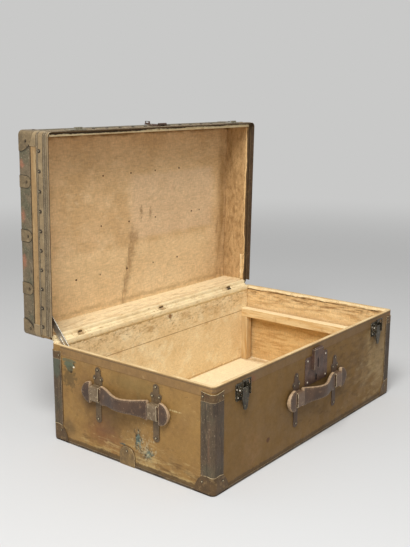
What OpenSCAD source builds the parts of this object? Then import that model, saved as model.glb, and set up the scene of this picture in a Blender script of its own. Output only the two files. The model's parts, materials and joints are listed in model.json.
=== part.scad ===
// Travel trunk with a hinged lid, shown open on its stay.
// Origin: centre of the base on the floor. +X runs along the long side, -Y is the front, +Z is up.

/* [Body] */
// Length of the trunk over its covered walls
trunk_w = 760; // [600:1:1000]
// Depth of the trunk, front to rear, over its covered walls
trunk_d = 466; // [380:1:600]
// Height of the base from the floor to its rim
base_h = 229; // [200:1:400]
// Height of the lid from the rim to its covered top
lid_h = 86; // [80:1:160]
// Radius of the upright corners
corner_r = 10; // [4:0.5:20]
// Thickness of the wooden boards
board_t = 8; // [5:0.5:14]
// Thickness of the painted canvas cover
canvas_t = 0.8; // [0.4:0.1:1.5]
// Thickness of the lining
lining_t = 0.6; // [0.3:0.1:1.2]
// Gap between the two rims when the lid is shut
rim_gap = 0.6; // [0.3:0.1:2]
// Thickness of the panel under the base
panel_t = 2; // [1.6:0.1:5]
// Angle of the open lid, from shut
lid_open = 88.7; // [60:0.1:100]

/* [Rim band and valance] */
// Height of the band round the top of the base
band_h = 22; // [14:1:25]
// Thickness of the band round the top of the base
band_t = 0.4; // [0.2:0.1:0.8]
// How far the valance laps below the rim when shut
lip_h = 10; // [6:0.5:14]
// Height of the valance on the lid wall
valance_h = 30; // [24:1:40]
// Thickness of the valance
valance_t = 1.5; // [1:0.1:3]
// Gap between the lip and the rim band
lip_gap = 0.5; // [0.4:0.1:1.5]
// How far the valance ridges stand out
ridge_out = 0.8; // [0.4:0.1:1.5]
// Width of a valance ridge
ridge_w = 2.4; // [1.5:0.1:4]
// Spacing of the valance nails
valance_pitch = 44; // [30:1:80]

/* [Edges and corners] */
// Width of the fibre strips down the corners
strip_w = 31; // [20:1:45]
// Thickness of the corner strips
strip_t = 1.6; // [0.8:0.1:2]
// Thickness of the metal corner caps
cap_t = 1.8; // [1.4:0.1:3]
// Height of the caps at the top of the base corners
top_cap_h = 20; // [14:1:30]
// Distance from the rim down to the top caps
top_cap_drop = 12; // [11:0.5:18]
// Dip of the top caps towards the corner
top_cap_dip = 3.5; // [1:0.5:5]
// Radius of the caps at the bottom corners
bottom_cap_r = 50; // [35:1:65]
// Height at which the bottom caps meet the strips
bottom_cap_h = 40; // [25:1:45]
// Radius of the lid caps at the front
lid_front_cap_r = 46; // [34:1:50]
// Radius of the lid caps at the rear
lid_rear_cap_r = 40; // [30:1:50]
// Thickness of the edge binding
binding_t = 1; // [0.6:0.1:1.3]
// Height of the binding along the bottom edges
bottom_binding_h = 6; // [4:0.5:12]
// Width of the binding under the base
under_binding_w = 25; // [15:1:35]
// Width of the binding on the lid, on each side of the edge
lid_binding_w = 34; // [24:1:40]
// Width of the edge clip at the bottom of each end
base_clip_w = 43; // [25:1:60]
// Height of the edge clip at the bottom of each end
base_clip_h = 44; // [30:1:60]
// Width of the edge clips on the lid
lid_clip_w = 27; // [18:1:40]
// Height of the edge clips on the lid
lid_clip_h = 36; // [25:1:40]
// Spacing of the edge clips on the lid ends
lid_clip_pitch = 122; // [80:1:150]

/* [Handles] */
// Distance from the rim down to the end handles
end_handle_drop = 83.5; // [81:0.5:120]
// Distance from the rim down to the front handle
front_handle_drop = 108; // [102:0.5:140]
// Distance between the two loops of a handle
loop_pitch = 168; // [130:1:200]
// Width of a loop, along the strap
loop_w = 25; // [15:1:35]
// Thickness of the loop metal
loop_t = 2; // [1.5:0.1:3]
// Thickness of the strap
strap_t = 9; // [6:0.5:12]
// Height of the strap where it runs through the loops
strap_neck = 30; // [24:0.5:36]
// Height of the strap at its shoulders, beside the loops
strap_shoulder = 45; // [36:0.5:50]
// Height of the strap in the middle
strap_waist = 30; // [20:0.5:35]
// Height of the lobes at the ends of the strap
strap_lobe = 50; // [40:0.5:56]
// How far the middle of the strap bows out
strap_bow = 17; // [8:0.5:30]
// Gap between the strap and the wall at the loops
strap_standoff = 4; // [3:0.5:8]
// Lengthwise play of the strap each way
strap_travel = 3; // [1:0.5:6]
// Thickness of the bracket plates
bracket_t = 1.5; // [1:0.1:2.5]
// Width of the bracket plates at the loops
bracket_w = 25; // [20:1:30]
// How far the bracket plates run up above the loops
bracket_up = 33; // [26:1:36]
// How far the bracket plates run down below the loops
bracket_down = 42; // [30:1:46]

/* [Lock and hasp] */
// Width of the lock plate
lock_w = 96; // [70:1:120]
// Height of the lock plate
lock_h = 66; // [50:1:80]
// Distance from the rim down to the lock plate
lock_drop = 26; // [24:1:40]
// Thickness of the lock plate
lock_t = 1.5; // [1:0.1:2.5]
// Width of the raised lock housing
housing_w = 38; // [36:1:50]
// Height of the raised lock housing
housing_h = 47; // [44:1:60]
// How far the housing stands out from the wall
housing_out = 8; // [7.5:0.1:12]
// Wall thickness of the housing
housing_wall = 1.3; // [0.8:0.1:2]
// Travel of the lock bolt
bolt_travel = 8; // [5:0.5:8]
// Width of the hasp tongue
hasp_w = 28; // [20:1:36]
// Length of the hasp tongue below its hinge
hasp_l = 56; // [50:1:62]
// Thickness of the hasp metal
hasp_t = 1.5; // [1:0.1:2]
// Outer radius of the hasp hinge
hasp_r = 2.8; // [2.4:0.1:4]

/* [Catches] */
// Distance of each catch from the end of the trunk
catch_inset = 92; // [70:1:180]
// Distance from the rim down to the catch lever's pin
catch_pin_drop = 25; // [23:0.5:32]
// Width of a catch plate
catch_w = 46; // [42:1:60]
// Width of a strike plate
strike_w = 50; // [40:1:56]
// Height of a strike plate
strike_h = 26; // [22:1:30]
// Length of the lever below its pin
lever_l = 45; // [36:0.5:60]
// Width of the lever at its pin
lever_w = 26; // [22:0.5:30]
// Thickness of the lever plate
lever_t = 2; // [1:0.1:2.5]
// Distance between the lever's pin and the hook's pin
hook_arm = 12; // [9:0.5:16]
// Height of the hook bar above the hook's pin
hook_rise = 32.5; // [28:0.5:42]

/* [Hinges and stay] */
// Distance of the outer hinges from the ends of the trunk
hinge_inset = 90; // [66:1:200]
// Distance of the hinge axis behind the rear wall
hinge_back = 4; // [3.8:0.1:6]
// Radius of the hinge knuckles
knuckle_r = 3.5; // [3:0.1:3.6]
// Radius of the hinge pins
pin_r = 1.95; // [1.5:0.05:2.2]
// Width of the hinge leaves
leaf_w = 50; // [36:1:80]
// Length of the hinge leaves
leaf_h = 36; // [24:1:50]
// Thickness of the hinge leaves
leaf_t = 1.5; // [1:0.1:2]
// Distance of the stay's studs from the hinge axis
stay_r = 100; // [85:1:115]
// Angle of the base stud below the rim, seen from the hinge axis
stay_base_deg = 33.5; // [28:0.5:40]
// Angle of the lid stud above the rim, seen from the hinge axis
stay_lid_deg = 26.8; // [22:0.2:30]
// Width of the stay
stay_w = 18; // [12:0.5:22]
// Thickness of the stay
stay_t = 2; // [1.5:0.1:3]
// Width of the stay's slot
stay_slot = 3.9; // [3.8:0.1:5]

/* [Inside] */
// Distance from the end lining to the tray rail's inner face
rail_reach = 30.6; // [20:0.2:50]
// Width of the tray rails and posts, along the trunk
rail_w = 22; // [12:1:26]
// Height of the tray rails
rail_h = 24; // [12:1:30]
// Distance from the rim down to the rail tops
rail_drop = 63; // [50:1:110]
// Width of the tray posts, front to rear
post_d = 20; // [12:1:40]

/* [Nails] */
// Head radius of the trim nails
nail_r = 2.6; // [1.6:0.1:3.5]
// Height of the nail heads
nail_h = 1.3; // [0.8:0.1:2]

/* [Hidden] */
$fn = 40;
wx = trunk_w / 2;
wy = trunk_d / 2;
in_x = wx - canvas_t - board_t;
in_y = wy - canvas_t - board_t;
floor_z = panel_t + canvas_t + board_t;
hinge_y = wy + hinge_back;
far = 2000;
hinge_x = wx - hinge_inset;
catch_x = wx - catch_inset;
end_handle_z = base_h - end_handle_drop;
front_handle_z = base_h - front_handle_drop;
rail_top = base_h - rail_drop;
lip_out = band_t + lip_gap;
valance_out = lip_out + valance_t;
plate_out = valance_out + ridge_out;
knuckle_gap = 0.4;
bore_gap = 0.05;
foot_gap = 0.2;
joint_gap = 0.2;
seat_gap = 0.3;
loop_x = loop_pitch / 2;
strap_inner_x = loop_x - loop_w / 2 - strap_travel - 1;
strap_lobe_x = loop_x + loop_w / 2 + strap_travel + 0.5;
strap_mid = strap_standoff + strap_t / 2;
loop_in = strap_standoff + strap_t + 0.4;
loop_z_in = strap_neck + 2 * seat_gap;
loop_in_r = 0.8;
lip_clear = 2;
lock_nail_r = 2.8;
lock_nail_h = 1.6;
lock_nail_in = 9;
lock_nail_up = 8;
small_nail_r = 2.2;
small_nail_h = 1.2;
leaf_nail_h = 0.9;
leaf_nails = [[-0.32, 0.36], [0.32, 0.36], [0, 0.78]];
clip_nail_in = 10;
catch_nail_in = 3.5;
catch_nail_up = 1;
catch_low_nail_in = 7.5;
catch_low_nail_down = 17;
strike_up = 6;
strike_nail_in = 6;
strike_nail_up = 5;
hasp_plate_w = 44;
hasp_plate_h = 26;
hasp_plate_up = 14;
hasp_nail_in = 5;
hasp_nail_up = 8;
lid_nail_drop = 22;
valance_nail_drop = 11;
bracket_top_r = 8;
bracket_stem = 16;
bracket_ear_r = 6;
bracket_ear_x = 9.5;
bracket_ear_up = 15.5;
bracket_foot_r = 9;
leaf_gap = 0.5;
knuckle_half = 8;
catch_plate_t = 1.5;
catch_low = 24;
cheek_t = 1.5;
lever_side_t = 1.4;
hook_arm_t = 1;
strike_t = 1.2;
claw_half = 11;
catch_pin_out = 7;
catch_pin_r = 1.6;
hook_pin_r = 1.2;
hook_bar_r = 1.6;
catch_half = lever_w / 2 + hook_arm_t + 0.5;
claw_out = plate_out + 6.2;
hook_bar_out = claw_out + 0.8 + hook_bar_r;
hasp_axis_z = 2;
hasp_axis_out = plate_out + hasp_t + seat_gap + hasp_r;
hasp_pin_r = 1.4;
hasp_half = 14;
hasp_knuckle = 4.8;
slot_x = -4;
housing_roll_r = 2.2;
staple_t = 2;
bolt_up = 14;
bolt_half = 3;
stud_foot = 3;
stay_x = in_x - lining_t - stud_foot;
stud_r = 1.7;

// Frames to build in: local x to the right, y up and z out of the named face
module on_front(x, z, out = 0) { translate([x, -wy - out, z]) rotate([90, 0, 0]) children(); }
module on_rear(x, z, out = 0) { translate([x, wy + out, z]) rotate([90, 0, 180]) children(); }
module on_left(y, z, out = 0) { translate([-wx - out, y, z]) rotate([90, 0, -90]) children(); }
module on_right(y, z, out = 0) { translate([wx + out, y, z]) rotate([90, 0, 90]) children(); }

// The lid is drawn shut, with z counted from the base rim, and then swung open
module on_lid() {
    translate([0, hinge_y, base_h]) rotate([-lid_open, 0, 0]) translate([0, -hinge_y, 0]) children();
}

// Plan of the trunk with rounded corners, grown or shrunk all round
module plan(grow) {
    w = trunk_w + 2 * grow;
    d = trunk_d + 2 * grow;
    r = max(1, corner_r + grow);
    square([w - 2 * r, d], center = true);
    square([w, d - 2 * r], center = true);
    for (sx = [-1, 1], sy = [-1, 1]) translate([sx * (w / 2 - r), sy * (d / 2 - r)]) circle(r);
}
module prism(grow, z0, z1) { translate([0, 0, z0]) linear_extrude(z1 - z0) plan(grow); }
module ring(outer, inner, z0, z1) {
    difference() {
        prism(outer, z0, z1);
        prism(inner, z0 - 1, z1 + 1);
    }
}
module corner_blocks(w, z0, z1) {
    for (sx = [-1, 1], sy = [-1, 1])
        translate([sx * (wx - w / 2 + 10) - w / 2 - 10, sy * (wy - w / 2 + 10) - w / 2 - 10, z0])
            cube([w + 20, w + 20, z1 - z0]);
}
module slab(x0, x1, y0, y1, z0, z1) { translate([x0, y0, z0]) cube([x1 - x0, y1 - y0, z1 - z0]); }
module nail(r = nail_r, h = nail_h) {
    ball = (r * r + h * h) / (2 * h);
    intersection() {
        translate([0, 0, h - ball]) sphere(ball);
        cylinder(r = r + 1, h = h + 1);
    }
}
module rounded_rect(w, h, r) {
    square([w - 2 * r, h], center = true);
    square([w, h - 2 * r], center = true);
    for (sx = [-1, 1], sy = [-1, 1]) translate([sx * (w / 2 - r), sy * (h / 2 - r)]) circle(r);
}
module x_rod(x0, x1, r) { translate([x0, 0, 0]) rotate([0, 90, 0]) cylinder(r = r, h = x1 - x0); }

// Base boards
module base_bottom_panel() { color("#6d5a3c") prism(-under_binding_w - 1, 0, panel_t); }
module base_bottom_board() {
    color("#b58f5c") prism(-canvas_t, panel_t + canvas_t, floor_z);
}
module base_side(front) {
    intersection() {
        prism(-canvas_t, floor_z, base_h);
        translate([0, front * (in_y + board_t / 2), base_h / 2])
            cube([trunk_w, board_t, base_h * 2], center = true);
    }
}
module base_front_board() { color("#c09a66") base_side(-1); }
module base_rear_board() { color("#c09a66") base_side(1); }
module base_end(side) {
    intersection() {
        slab(min(side * in_x, side * wx), max(side * in_x, side * wx), -in_y, in_y, floor_z, base_h);
        prism(-canvas_t, floor_z, base_h);
    }
}
module base_left_board() { color("#c09a66") base_end(-1); }
module base_right_board() { color("#c09a66") base_end(1); }

// Base skins
module base_canvas() {
    color("#8c6f45") difference() {
        prism(0, panel_t, base_h);
        prism(-canvas_t, panel_t + canvas_t, base_h + 1);
    }
}
module base_lining() {
    color("#d8b47c") difference() {
        slab(-in_x, in_x, -in_y, in_y, floor_z, base_h - 1);
        slab(-in_x + lining_t, in_x - lining_t, -in_y + lining_t, in_y - lining_t,
            floor_z + lining_t, base_h);
    }
}
// The band is notched for the catches and the lock, and stops at the rear corner caps
module band_solid() {
    notch = base_h - lip_h - lip_clear;
    difference() {
        ring(band_t, 0, base_h - band_h, base_h);
        slab(-far, far, wy - strip_w + 1, far, 0, far);
        for (x = [-catch_x, catch_x])
            slab(x - catch_w / 2 - seat_gap, x + catch_w / 2 + seat_gap, -far, -in_y, 0, notch);
        slab(-housing_w / 2 - seat_gap, housing_w / 2 + seat_gap, -far, -in_y, 0, notch);
    }
}
module binding_solid() {
    difference() {
        prism(binding_t, panel_t - binding_t, panel_t + bottom_binding_h - 2);
        prism(0, panel_t, panel_t + bottom_binding_h);
        prism(-under_binding_w, -1, panel_t + 1);
    }
}
module rim_band() {
    color("#75603f") difference() {
        band_solid();
        corner_blocks(strip_w, 0, base_h - top_cap_drop);
    }
}
module bottom_binding() { color("#3f3a33") binding_solid(); }
module base_corner_strips() {
    color("#5f5546") intersection() {
        ring(strip_t, 0, bottom_cap_h, base_h - top_cap_drop - top_cap_h);
        corner_blocks(strip_w, 0, base_h);
    }
}
module base_top_caps() {
    dip_r = (strip_w * strip_w / 2 + top_cap_dip * top_cap_dip) / (2 * top_cap_dip);
    top = base_h - top_cap_drop;
    color("#594c3b") difference() {
        intersection() {
            ring(cap_t, 0, top - top_cap_h, top);
            corner_blocks(strip_w, 0, base_h);
        }
        for (sx = [-1, 1], sy = [-1, 1])
            translate([sx * wx, sy * wy, top - top_cap_dip + dip_r])
                rotate([90, 0, -45 * sx * sy]) cylinder(r = dip_r, h = 4 * strip_w, center = true);
    }
}
module base_bottom_caps() {
    color("#5a4b38") difference() {
        intersection() {
            prism(cap_t, foot_gap, bottom_cap_h);
            for (sx = [-1, 1], sy = [-1, 1])
                translate([sx * (wx + cap_t), sy * (wy + cap_t), 0]) sphere(bottom_cap_r);
        }
        prism(0, panel_t, far);
        prism(-under_binding_w, -1, panel_t + 1);
        binding_solid();
    }
}
module arch(w, h) {
    translate([-w / 2, 0]) square([w, h - w / 2]);
    translate([0, h - w / 2]) circle(w / 2);
}
module base_edge_clips() {
    color("#6b5636") difference() {
        for (turn = [0, 180])
            rotate([0, 0, turn]) {
                on_right(0, foot_gap) linear_extrude(cap_t) arch(base_clip_w, base_clip_h - foot_gap);
                slab(wx - under_binding_w, wx + cap_t, -base_clip_w / 2, base_clip_w / 2,
                    foot_gap, panel_t);
            }
        prism(0, panel_t, far);
        binding_solid();
    }
}
module base_trim_nails() {
    low = bottom_cap_r * 0.55;
    color("#8b7a5e") {
        for (s = [-1, 1], at = [[strip_w - 5, base_h - top_cap_drop - top_cap_h / 2], [low, low]]) {
            on_front(s * (wx - at[0]), at[1], cap_t) nail();
            on_rear(s * (wx - at[0]), at[1], cap_t) nail();
            on_left(s * (wy - at[0]), at[1], cap_t) nail();
            on_right(s * (wy - at[0]), at[1], cap_t) nail();
        }
        on_left(0, base_clip_h - clip_nail_in, cap_t) nail();
        on_right(0, base_clip_h - clip_nail_in, cap_t) nail();
        for (x = [-hinge_x, 0, hinge_x], p = leaf_nails)
            on_rear(x + p[0] * leaf_w, base_h - p[1] * leaf_h, leaf_t) nail(small_nail_r, leaf_nail_h);
    }
}

// Batten frames that carry a tray, just inside each end wall
module tray_frame() {
    x1 = in_x - lining_t - rail_reach + rail_w;
    y1 = in_y - lining_t;
    slab(x1 - rail_w, x1, -y1, y1, rail_top - rail_h, rail_top);
    for (y = [-y1, y1 - post_d])
        slab(x1 - rail_w, x1, y, y + post_d, floor_z + lining_t, rail_top - rail_h - joint_gap);
}
module left_tray_frame() { color("#c99f63") mirror([1, 0, 0]) tray_frame(); }
module right_tray_frame() { color("#c99f63") tray_frame(); }

// Lid boards
lid_in = lid_h - canvas_t - board_t;
module lid_top_board() { color("#b58f5c") on_lid() prism(-canvas_t, lid_in, lid_h - canvas_t); }
module lid_side(front) {
    on_lid() intersection() {
        prism(-canvas_t, rim_gap, lid_in);
        translate([0, front * (in_y + board_t / 2), lid_h / 2])
            cube([trunk_w, board_t, lid_h * 2], center = true);
    }
}
module lid_front_board() { color("#c09a66") lid_side(-1); }
module lid_rear_board() { color("#c09a66") lid_side(1); }
module lid_end(side) {
    on_lid() intersection() {
        slab(min(side * in_x, side * wx), max(side * in_x, side * wx), -in_y, in_y, rim_gap, lid_in);
        prism(-canvas_t, rim_gap, lid_in);
    }
}
module lid_left_board() { color("#c09a66") lid_end(-1); }
module lid_right_board() { color("#c09a66") lid_end(1); }

// Lid skins and trim
module lid_canvas() {
    color("#a08657") on_lid() difference() {
        prism(0, rim_gap, lid_h);
        prism(-canvas_t, 0, lid_h - canvas_t);
    }
}
module lid_lining() {
    color("#c0a074") on_lid() difference() {
        slab(-in_x, in_x, -in_y, in_y, rim_gap + 1, lid_in);
        slab(-in_x + lining_t, in_x - lining_t, -in_y + lining_t, in_y - lining_t, 0, lid_in - lining_t);
    }
}
module lid_valance() {
    color("#7d7460") on_lid() difference() {
        union() {
            prism(valance_out, -lip_h, valance_h);
            for (z = [-lip_h + 8, -lip_h + 15, valance_h - 4])
                prism(plate_out, z - ridge_w / 2, z + ridge_w / 2);
        }
        prism(0, 0, valance_h + 1);
        prism(lip_out, -lip_h - 1, 0);
        slab(-far, far, wy - corner_r, far, -far, far);
    }
}
module valance_nails() {
    corner_gap = 40;
    plate_gap = 30;
    rear_gap = 20;
    front_n = floor((wx - corner_gap) / valance_pitch);
    side_n = floor((trunk_d - corner_gap - rear_gap) / valance_pitch);
    z = valance_h - valance_nail_drop;
    color("#4b4436") on_lid() {
        for (i = [0:side_n]) {
            on_left(-wy + corner_gap + i * valance_pitch, z, valance_out) nail();
            on_right(-wy + corner_gap + i * valance_pitch, z, valance_out) nail();
        }
        for (x = [-front_n * valance_pitch:valance_pitch:front_n * valance_pitch])
            if (abs(x) > plate_gap && abs(abs(x) - catch_x) > plate_gap)
                on_front(x, z, valance_out) nail();
    }
}
module lid_binding_solid() {
    difference() {
        prism(binding_t, lid_h - lid_binding_w, lid_h + binding_t);
        prism(0, -1, lid_h);
        prism(-lid_binding_w, lid_h - 1, lid_h + binding_t + 1);
    }
}
module lid_edge_binding() { color("#6a6a52") on_lid() lid_binding_solid(); }
module lid_corner_strips() {
    color("#5f5546") on_lid() intersection() {
        ring(strip_t, 0, valance_h, lid_h - lid_binding_w);
        corner_blocks(strip_w, 0, lid_h);
    }
}
module lid_corner_caps() {
    color("#5a4b38") on_lid() difference() {
        intersection() {
            prism(cap_t, lid_h - lid_front_cap_r, lid_h + cap_t);
            for (sx = [-1, 1], sy = [-1, 1])
                translate([sx * (wx + cap_t), sy * (wy + cap_t), lid_h + cap_t])
                    sphere(sy < 0 ? lid_front_cap_r : lid_rear_cap_r);
        }
        prism(0, -1, lid_h);
        lid_binding_solid();
        ring(strip_t, -1, valance_h, lid_h - lid_binding_w);
    }
}
module lid_edge_clips() {
    color("#6b5636") on_lid() difference() {
        for (turn = [0, 180], i = [-1:1])
            rotate([0, 0, turn]) {
                on_right(i * lid_clip_pitch, lid_h + cap_t) rotate([0, 0, 180])
                    linear_extrude(cap_t) arch(lid_clip_w, lid_clip_h);
                translate([wx - lid_clip_w, i * lid_clip_pitch - lid_clip_w / 2, lid_h])
                    cube([lid_clip_w + cap_t, lid_clip_w, cap_t]);
            }
        prism(0, -1, lid_h);
        lid_binding_solid();
    }
}
module lid_trim_nails() {
    z = lid_h - lid_nail_drop;
    front_in = lid_front_cap_r * 0.46;
    rear_in = lid_rear_cap_r * 0.42;
    color("#8b7a5e") on_lid() {
        for (s = [-1, 1]) {
            on_front(s * (wx - front_in), z, cap_t) nail();
            on_rear(s * (wx - rear_in), z, cap_t) nail();
        }
        for (y = [-wy + front_in, wy - rear_in]) {
            on_left(y, z, cap_t) nail();
            on_right(y, z, cap_t) nail();
        }
        for (i = [-1:1]) {
            on_left(i * lid_clip_pitch, z, cap_t) nail();
            on_right(i * lid_clip_pitch, z, cap_t) nail();
        }
        for (x = [-hinge_x, 0, hinge_x], p = leaf_nails)
            on_rear(x + p[0] * leaf_w, p[1] * leaf_h, leaf_t) nail(small_nail_r, leaf_nail_h);
    }
}

// Strike plates with an upturned claw, and the hasp
module strike() {
    reach = claw_out - plate_out;
    low = strike_up - strike_h / 2 + 1;
    translate([0, strike_up, 0]) linear_extrude(strike_t) rounded_rect(strike_w, strike_h, 4);
    slab(-claw_half, claw_half, low, low + strike_t, 0, reach);
    slab(-claw_half, claw_half, low, low + 5, reach - strike_t, reach);
}
module strike_plates() {
    color("#5c564c") on_lid() for (x = [-catch_x, catch_x]) on_front(x, 0, plate_out) strike();
}
module hasp_plate() {
    rise = hasp_axis_out - plate_out;
    ear = hasp_half - hasp_knuckle - knuckle_gap;
    color("#5c4a3c") on_lid() on_front(0, hasp_axis_z, plate_out) difference() {
        union() {
            translate([0, hasp_plate_up, 0]) linear_extrude(hasp_t)
                rounded_rect(hasp_plate_w, hasp_plate_h, 4);
            for (x = [-hasp_half, hasp_knuckle + knuckle_gap]) {
                translate([0, 0, rise]) x_rod(x, x + ear, hasp_r);
                slab(x, x + ear, -hasp_r * 0.6, 2, 0, rise);
            }
        }
        translate([0, 0, rise]) x_rod(-far, far, hasp_pin_r + bore_gap);
        translate([0, 0, rise]) x_rod(-hasp_knuckle - knuckle_gap, hasp_knuckle + knuckle_gap,
            hasp_r + knuckle_gap);
    }
}
module hasp_pin() {
    color("#3a3632") on_lid() on_front(0, hasp_axis_z, hasp_axis_out)
        x_rod(-hasp_half - 0.6, hasp_half + 0.6, hasp_pin_r);
}
// The tongue is drawn hanging down and then folded back over the lid
module hasp_tongue() {
    mid = housing_z + bolt_up - base_h - hasp_axis_z;
    eye = bolt_half + 1.8;
    color("#5c4a3c") on_lid() on_front(0, hasp_axis_z, hasp_axis_out) rotate([180, 0, 0]) difference() {
        union() {
            x_rod(-hasp_knuckle, hasp_knuckle, hasp_r);
            slab(-hasp_knuckle, hasp_knuckle, -8, 0, hasp_r - hasp_t, hasp_r);
            translate([0, -hasp_l + hasp_w / 2, hasp_r - hasp_t]) linear_extrude(hasp_t) {
                circle(hasp_w / 2);
                translate([-hasp_w / 2, 0]) square([hasp_w, hasp_l - hasp_w / 2 - hasp_r - 1.4]);
            }
            slab(slot_x - staple_t / 2, slot_x + staple_t / 2, mid - eye - 1.6, mid + eye + 4,
                lock_t + 0.8 - hasp_axis_out, hasp_r - hasp_t / 2);
        }
        x_rod(-far, far, hasp_pin_r + bore_gap);
        slab(slot_x - staple_t, slot_x + staple_t, mid - eye, mid + eye,
            bolt_low - 0.3 - hasp_axis_out, bolt_high + 0.3 - hasp_axis_out);
    }
}
module lid_hardware_nails() {
    color("#a59a88") on_lid() {
        for (x = [-catch_x, catch_x], s = [-1, 1])
            on_front(x + s * (strike_w / 2 - strike_nail_in), strike_up + strike_nail_up,
                plate_out + strike_t)
                nail(small_nail_r, small_nail_h);
        for (s = [-1, 1])
            on_front(s * (hasp_plate_w / 2 - hasp_nail_in), hasp_plate_up + hasp_nail_up,
                plate_out + hasp_t)
                nail(small_nail_r, small_nail_h);
    }
}

// Hinges: one leaf on the base, one on the lid, a pin through both
module leaf(up) {
    s = up ? 1 : -1;
    inner = knuckle_half;
    outer = knuckle_half + leaf_gap;
    end = leaf_w / 2;
    own = up ? [[-inner, inner]] : [[-end, -outer], [outer, end]];
    other = up ? [[-end - 1, -inner], [inner, end + 1]] : [[-outer, outer]];
    difference() {
        union() {
            difference() {
                slab(-end, end, wy, wy + leaf_t, min(s * knuckle_gap, s * leaf_h),
                    max(s * knuckle_gap, s * leaf_h));
                for (span = other)
                    translate([0, hinge_y, 0]) x_rod(span[0], span[1], knuckle_r + knuckle_gap);
            }
            for (span = own) {
                translate([0, hinge_y, 0]) x_rod(span[0], span[1], knuckle_r);
                slab(span[0], span[1], wy + seat_gap, wy + leaf_t, min(0, s * 3), max(0, s * 3));
            }
        }
        translate([0, hinge_y, 0]) x_rod(-leaf_w, leaf_w, pin_r + bore_gap);
    }
}
module hinge_base_leaves() {
    color("#5c564c") for (x = [-hinge_x, 0, hinge_x]) translate([x, 0, base_h]) leaf(false);
}
module hinge_lid_leaves() {
    color("#5c564c") on_lid() for (x = [-hinge_x, 0, hinge_x]) translate([x, 0, 0]) leaf(true);
}
module hinge_pins() {
    color("#3a3632") for (x = [-hinge_x, 0, hinge_x])
        translate([x, hinge_y, base_h]) x_rod(-leaf_w / 2 - 1, leaf_w / 2 + 1, pin_r);
}

// Stay: its pivot stud is on the lid and its slot slides on a stud on the base.
// Both studs lie at the same distance from the hinge axis, so the stay turns half as far as the lid.
function stay_half(open) = (open + stay_base_deg + stay_lid_deg) / 2;
function stay_gap(open) = 2 * stay_r * sin(stay_half(open));
function base_stud() = [hinge_y - stay_r * cos(stay_base_deg), base_h - stay_r * sin(stay_base_deg)];
function lid_stud_shut() = [hinge_y - stay_r * cos(stay_lid_deg), stay_r * sin(stay_lid_deg)];
function lid_stud_deg() = 180 - stay_lid_deg - lid_open;
function lid_stud() = [hinge_y + stay_r * cos(lid_stud_deg()), base_h + stay_r * sin(lid_stud_deg())];
stay_tilt = atan2(base_stud()[1] - lid_stud()[1], base_stud()[0] - lid_stud()[0]);

module stud() {
    head = stud_foot + stay_t + seat_gap;
    x_rod(0, stud_foot / 2, 11);
    x_rod(0, stud_foot - seat_gap, 4.2);
    x_rod(0, head + 1.2, stud_r);
    x_rod(head, head + 1.2, 4);
}
module stay_bar() {
    color("#8d8a82") translate([-stay_x, lid_stud()[0], lid_stud()[1]]) rotate([stay_tilt, 0, 0])
        difference() {
            union() {
                x_rod(0, stay_t, stay_w / 2);
                translate([0, stay_gap(lid_open), 0]) x_rod(0, stay_t, stay_w / 2);
                slab(0, stay_t, 0, stay_gap(lid_open), -stay_w / 2, stay_w / 2);
            }
            x_rod(-1, stay_t + 1, stud_r + bore_gap);
            translate([0, stay_gap(0), 0]) x_rod(-1, stay_t + 1, stay_slot / 2);
            translate([0, stay_gap(lid_open), 0]) x_rod(-1, stay_t + 1, stay_slot / 2);
            slab(-1, stay_t + 1, stay_gap(0), stay_gap(lid_open), -stay_slot / 2, stay_slot / 2);
        }
}
module stay_base_stud() {
    color("#77736a") translate([-stay_x - stud_foot, base_stud()[0], base_stud()[1]]) stud();
}
module stay_lid_stud() {
    color("#77736a") on_lid() translate([-stay_x - stud_foot, lid_stud_shut()[0], lid_stud_shut()[1]])
        stud();
}

// Lock plate, its housing with a slot for the hasp's staple, and the sliding bolt
lock_z = base_h - lock_drop - lock_h / 2;
housing_z = base_h - lip_h - lip_clear - housing_h;
bolt_low = lock_t + 2.4;
bolt_high = housing_out - housing_wall - 0.4;
module lock_plate() {
    color("#6a4d3e") on_front(0, lock_z) difference() {
        linear_extrude(lock_t) {
            rounded_rect(lock_w, lock_h, 6);
            translate([-housing_w / 2, 0]) square([housing_w, housing_z + housing_h - lock_z]);
        }
        translate([0, -lock_h / 2 + 15, -1]) cylinder(r = 2.6, h = lock_t + 2);
        slab(-1.5, 1.5, -lock_h / 2 + 5, -lock_h / 2 + 15, -1, lock_t + 1);
    }
}
module lock_housing() {
    color("#64483a") on_front(0, housing_z) {
        difference() {
            slab(-housing_w / 2, housing_w / 2, 0, housing_h, lock_t, housing_out);
            slab(-housing_w / 2 + housing_wall, housing_w / 2 - housing_wall, housing_wall,
                housing_h - housing_wall, lock_t - 1, housing_out - housing_wall);
            slab(slot_x - staple_t / 2 - 0.6, slot_x + staple_t / 2 + 0.6, bolt_up - 10.4, bolt_up + 10.5,
                0, housing_out + 1);
        }
        translate([0, housing_h + 1.5, housing_out - housing_roll_r])
            x_rod(-housing_w / 2 + 4, housing_w / 2 - 4, housing_roll_r);
    }
}
module lock_bolt() {
    shoulder = slot_x - staple_t - bolt_travel;
    color("#8a8478") on_front(0, housing_z) {
        slab(-housing_w / 2 + housing_wall + 0.2, shoulder, bolt_up - 10, bolt_up + 10,
            lock_t + 0.1, housing_out - housing_wall - 0.2);
        slab(shoulder - 1, slot_x - staple_t / 2 - 2, bolt_up - bolt_half, bolt_up + bolt_half,
            bolt_low, bolt_high);
    }
}
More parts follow.
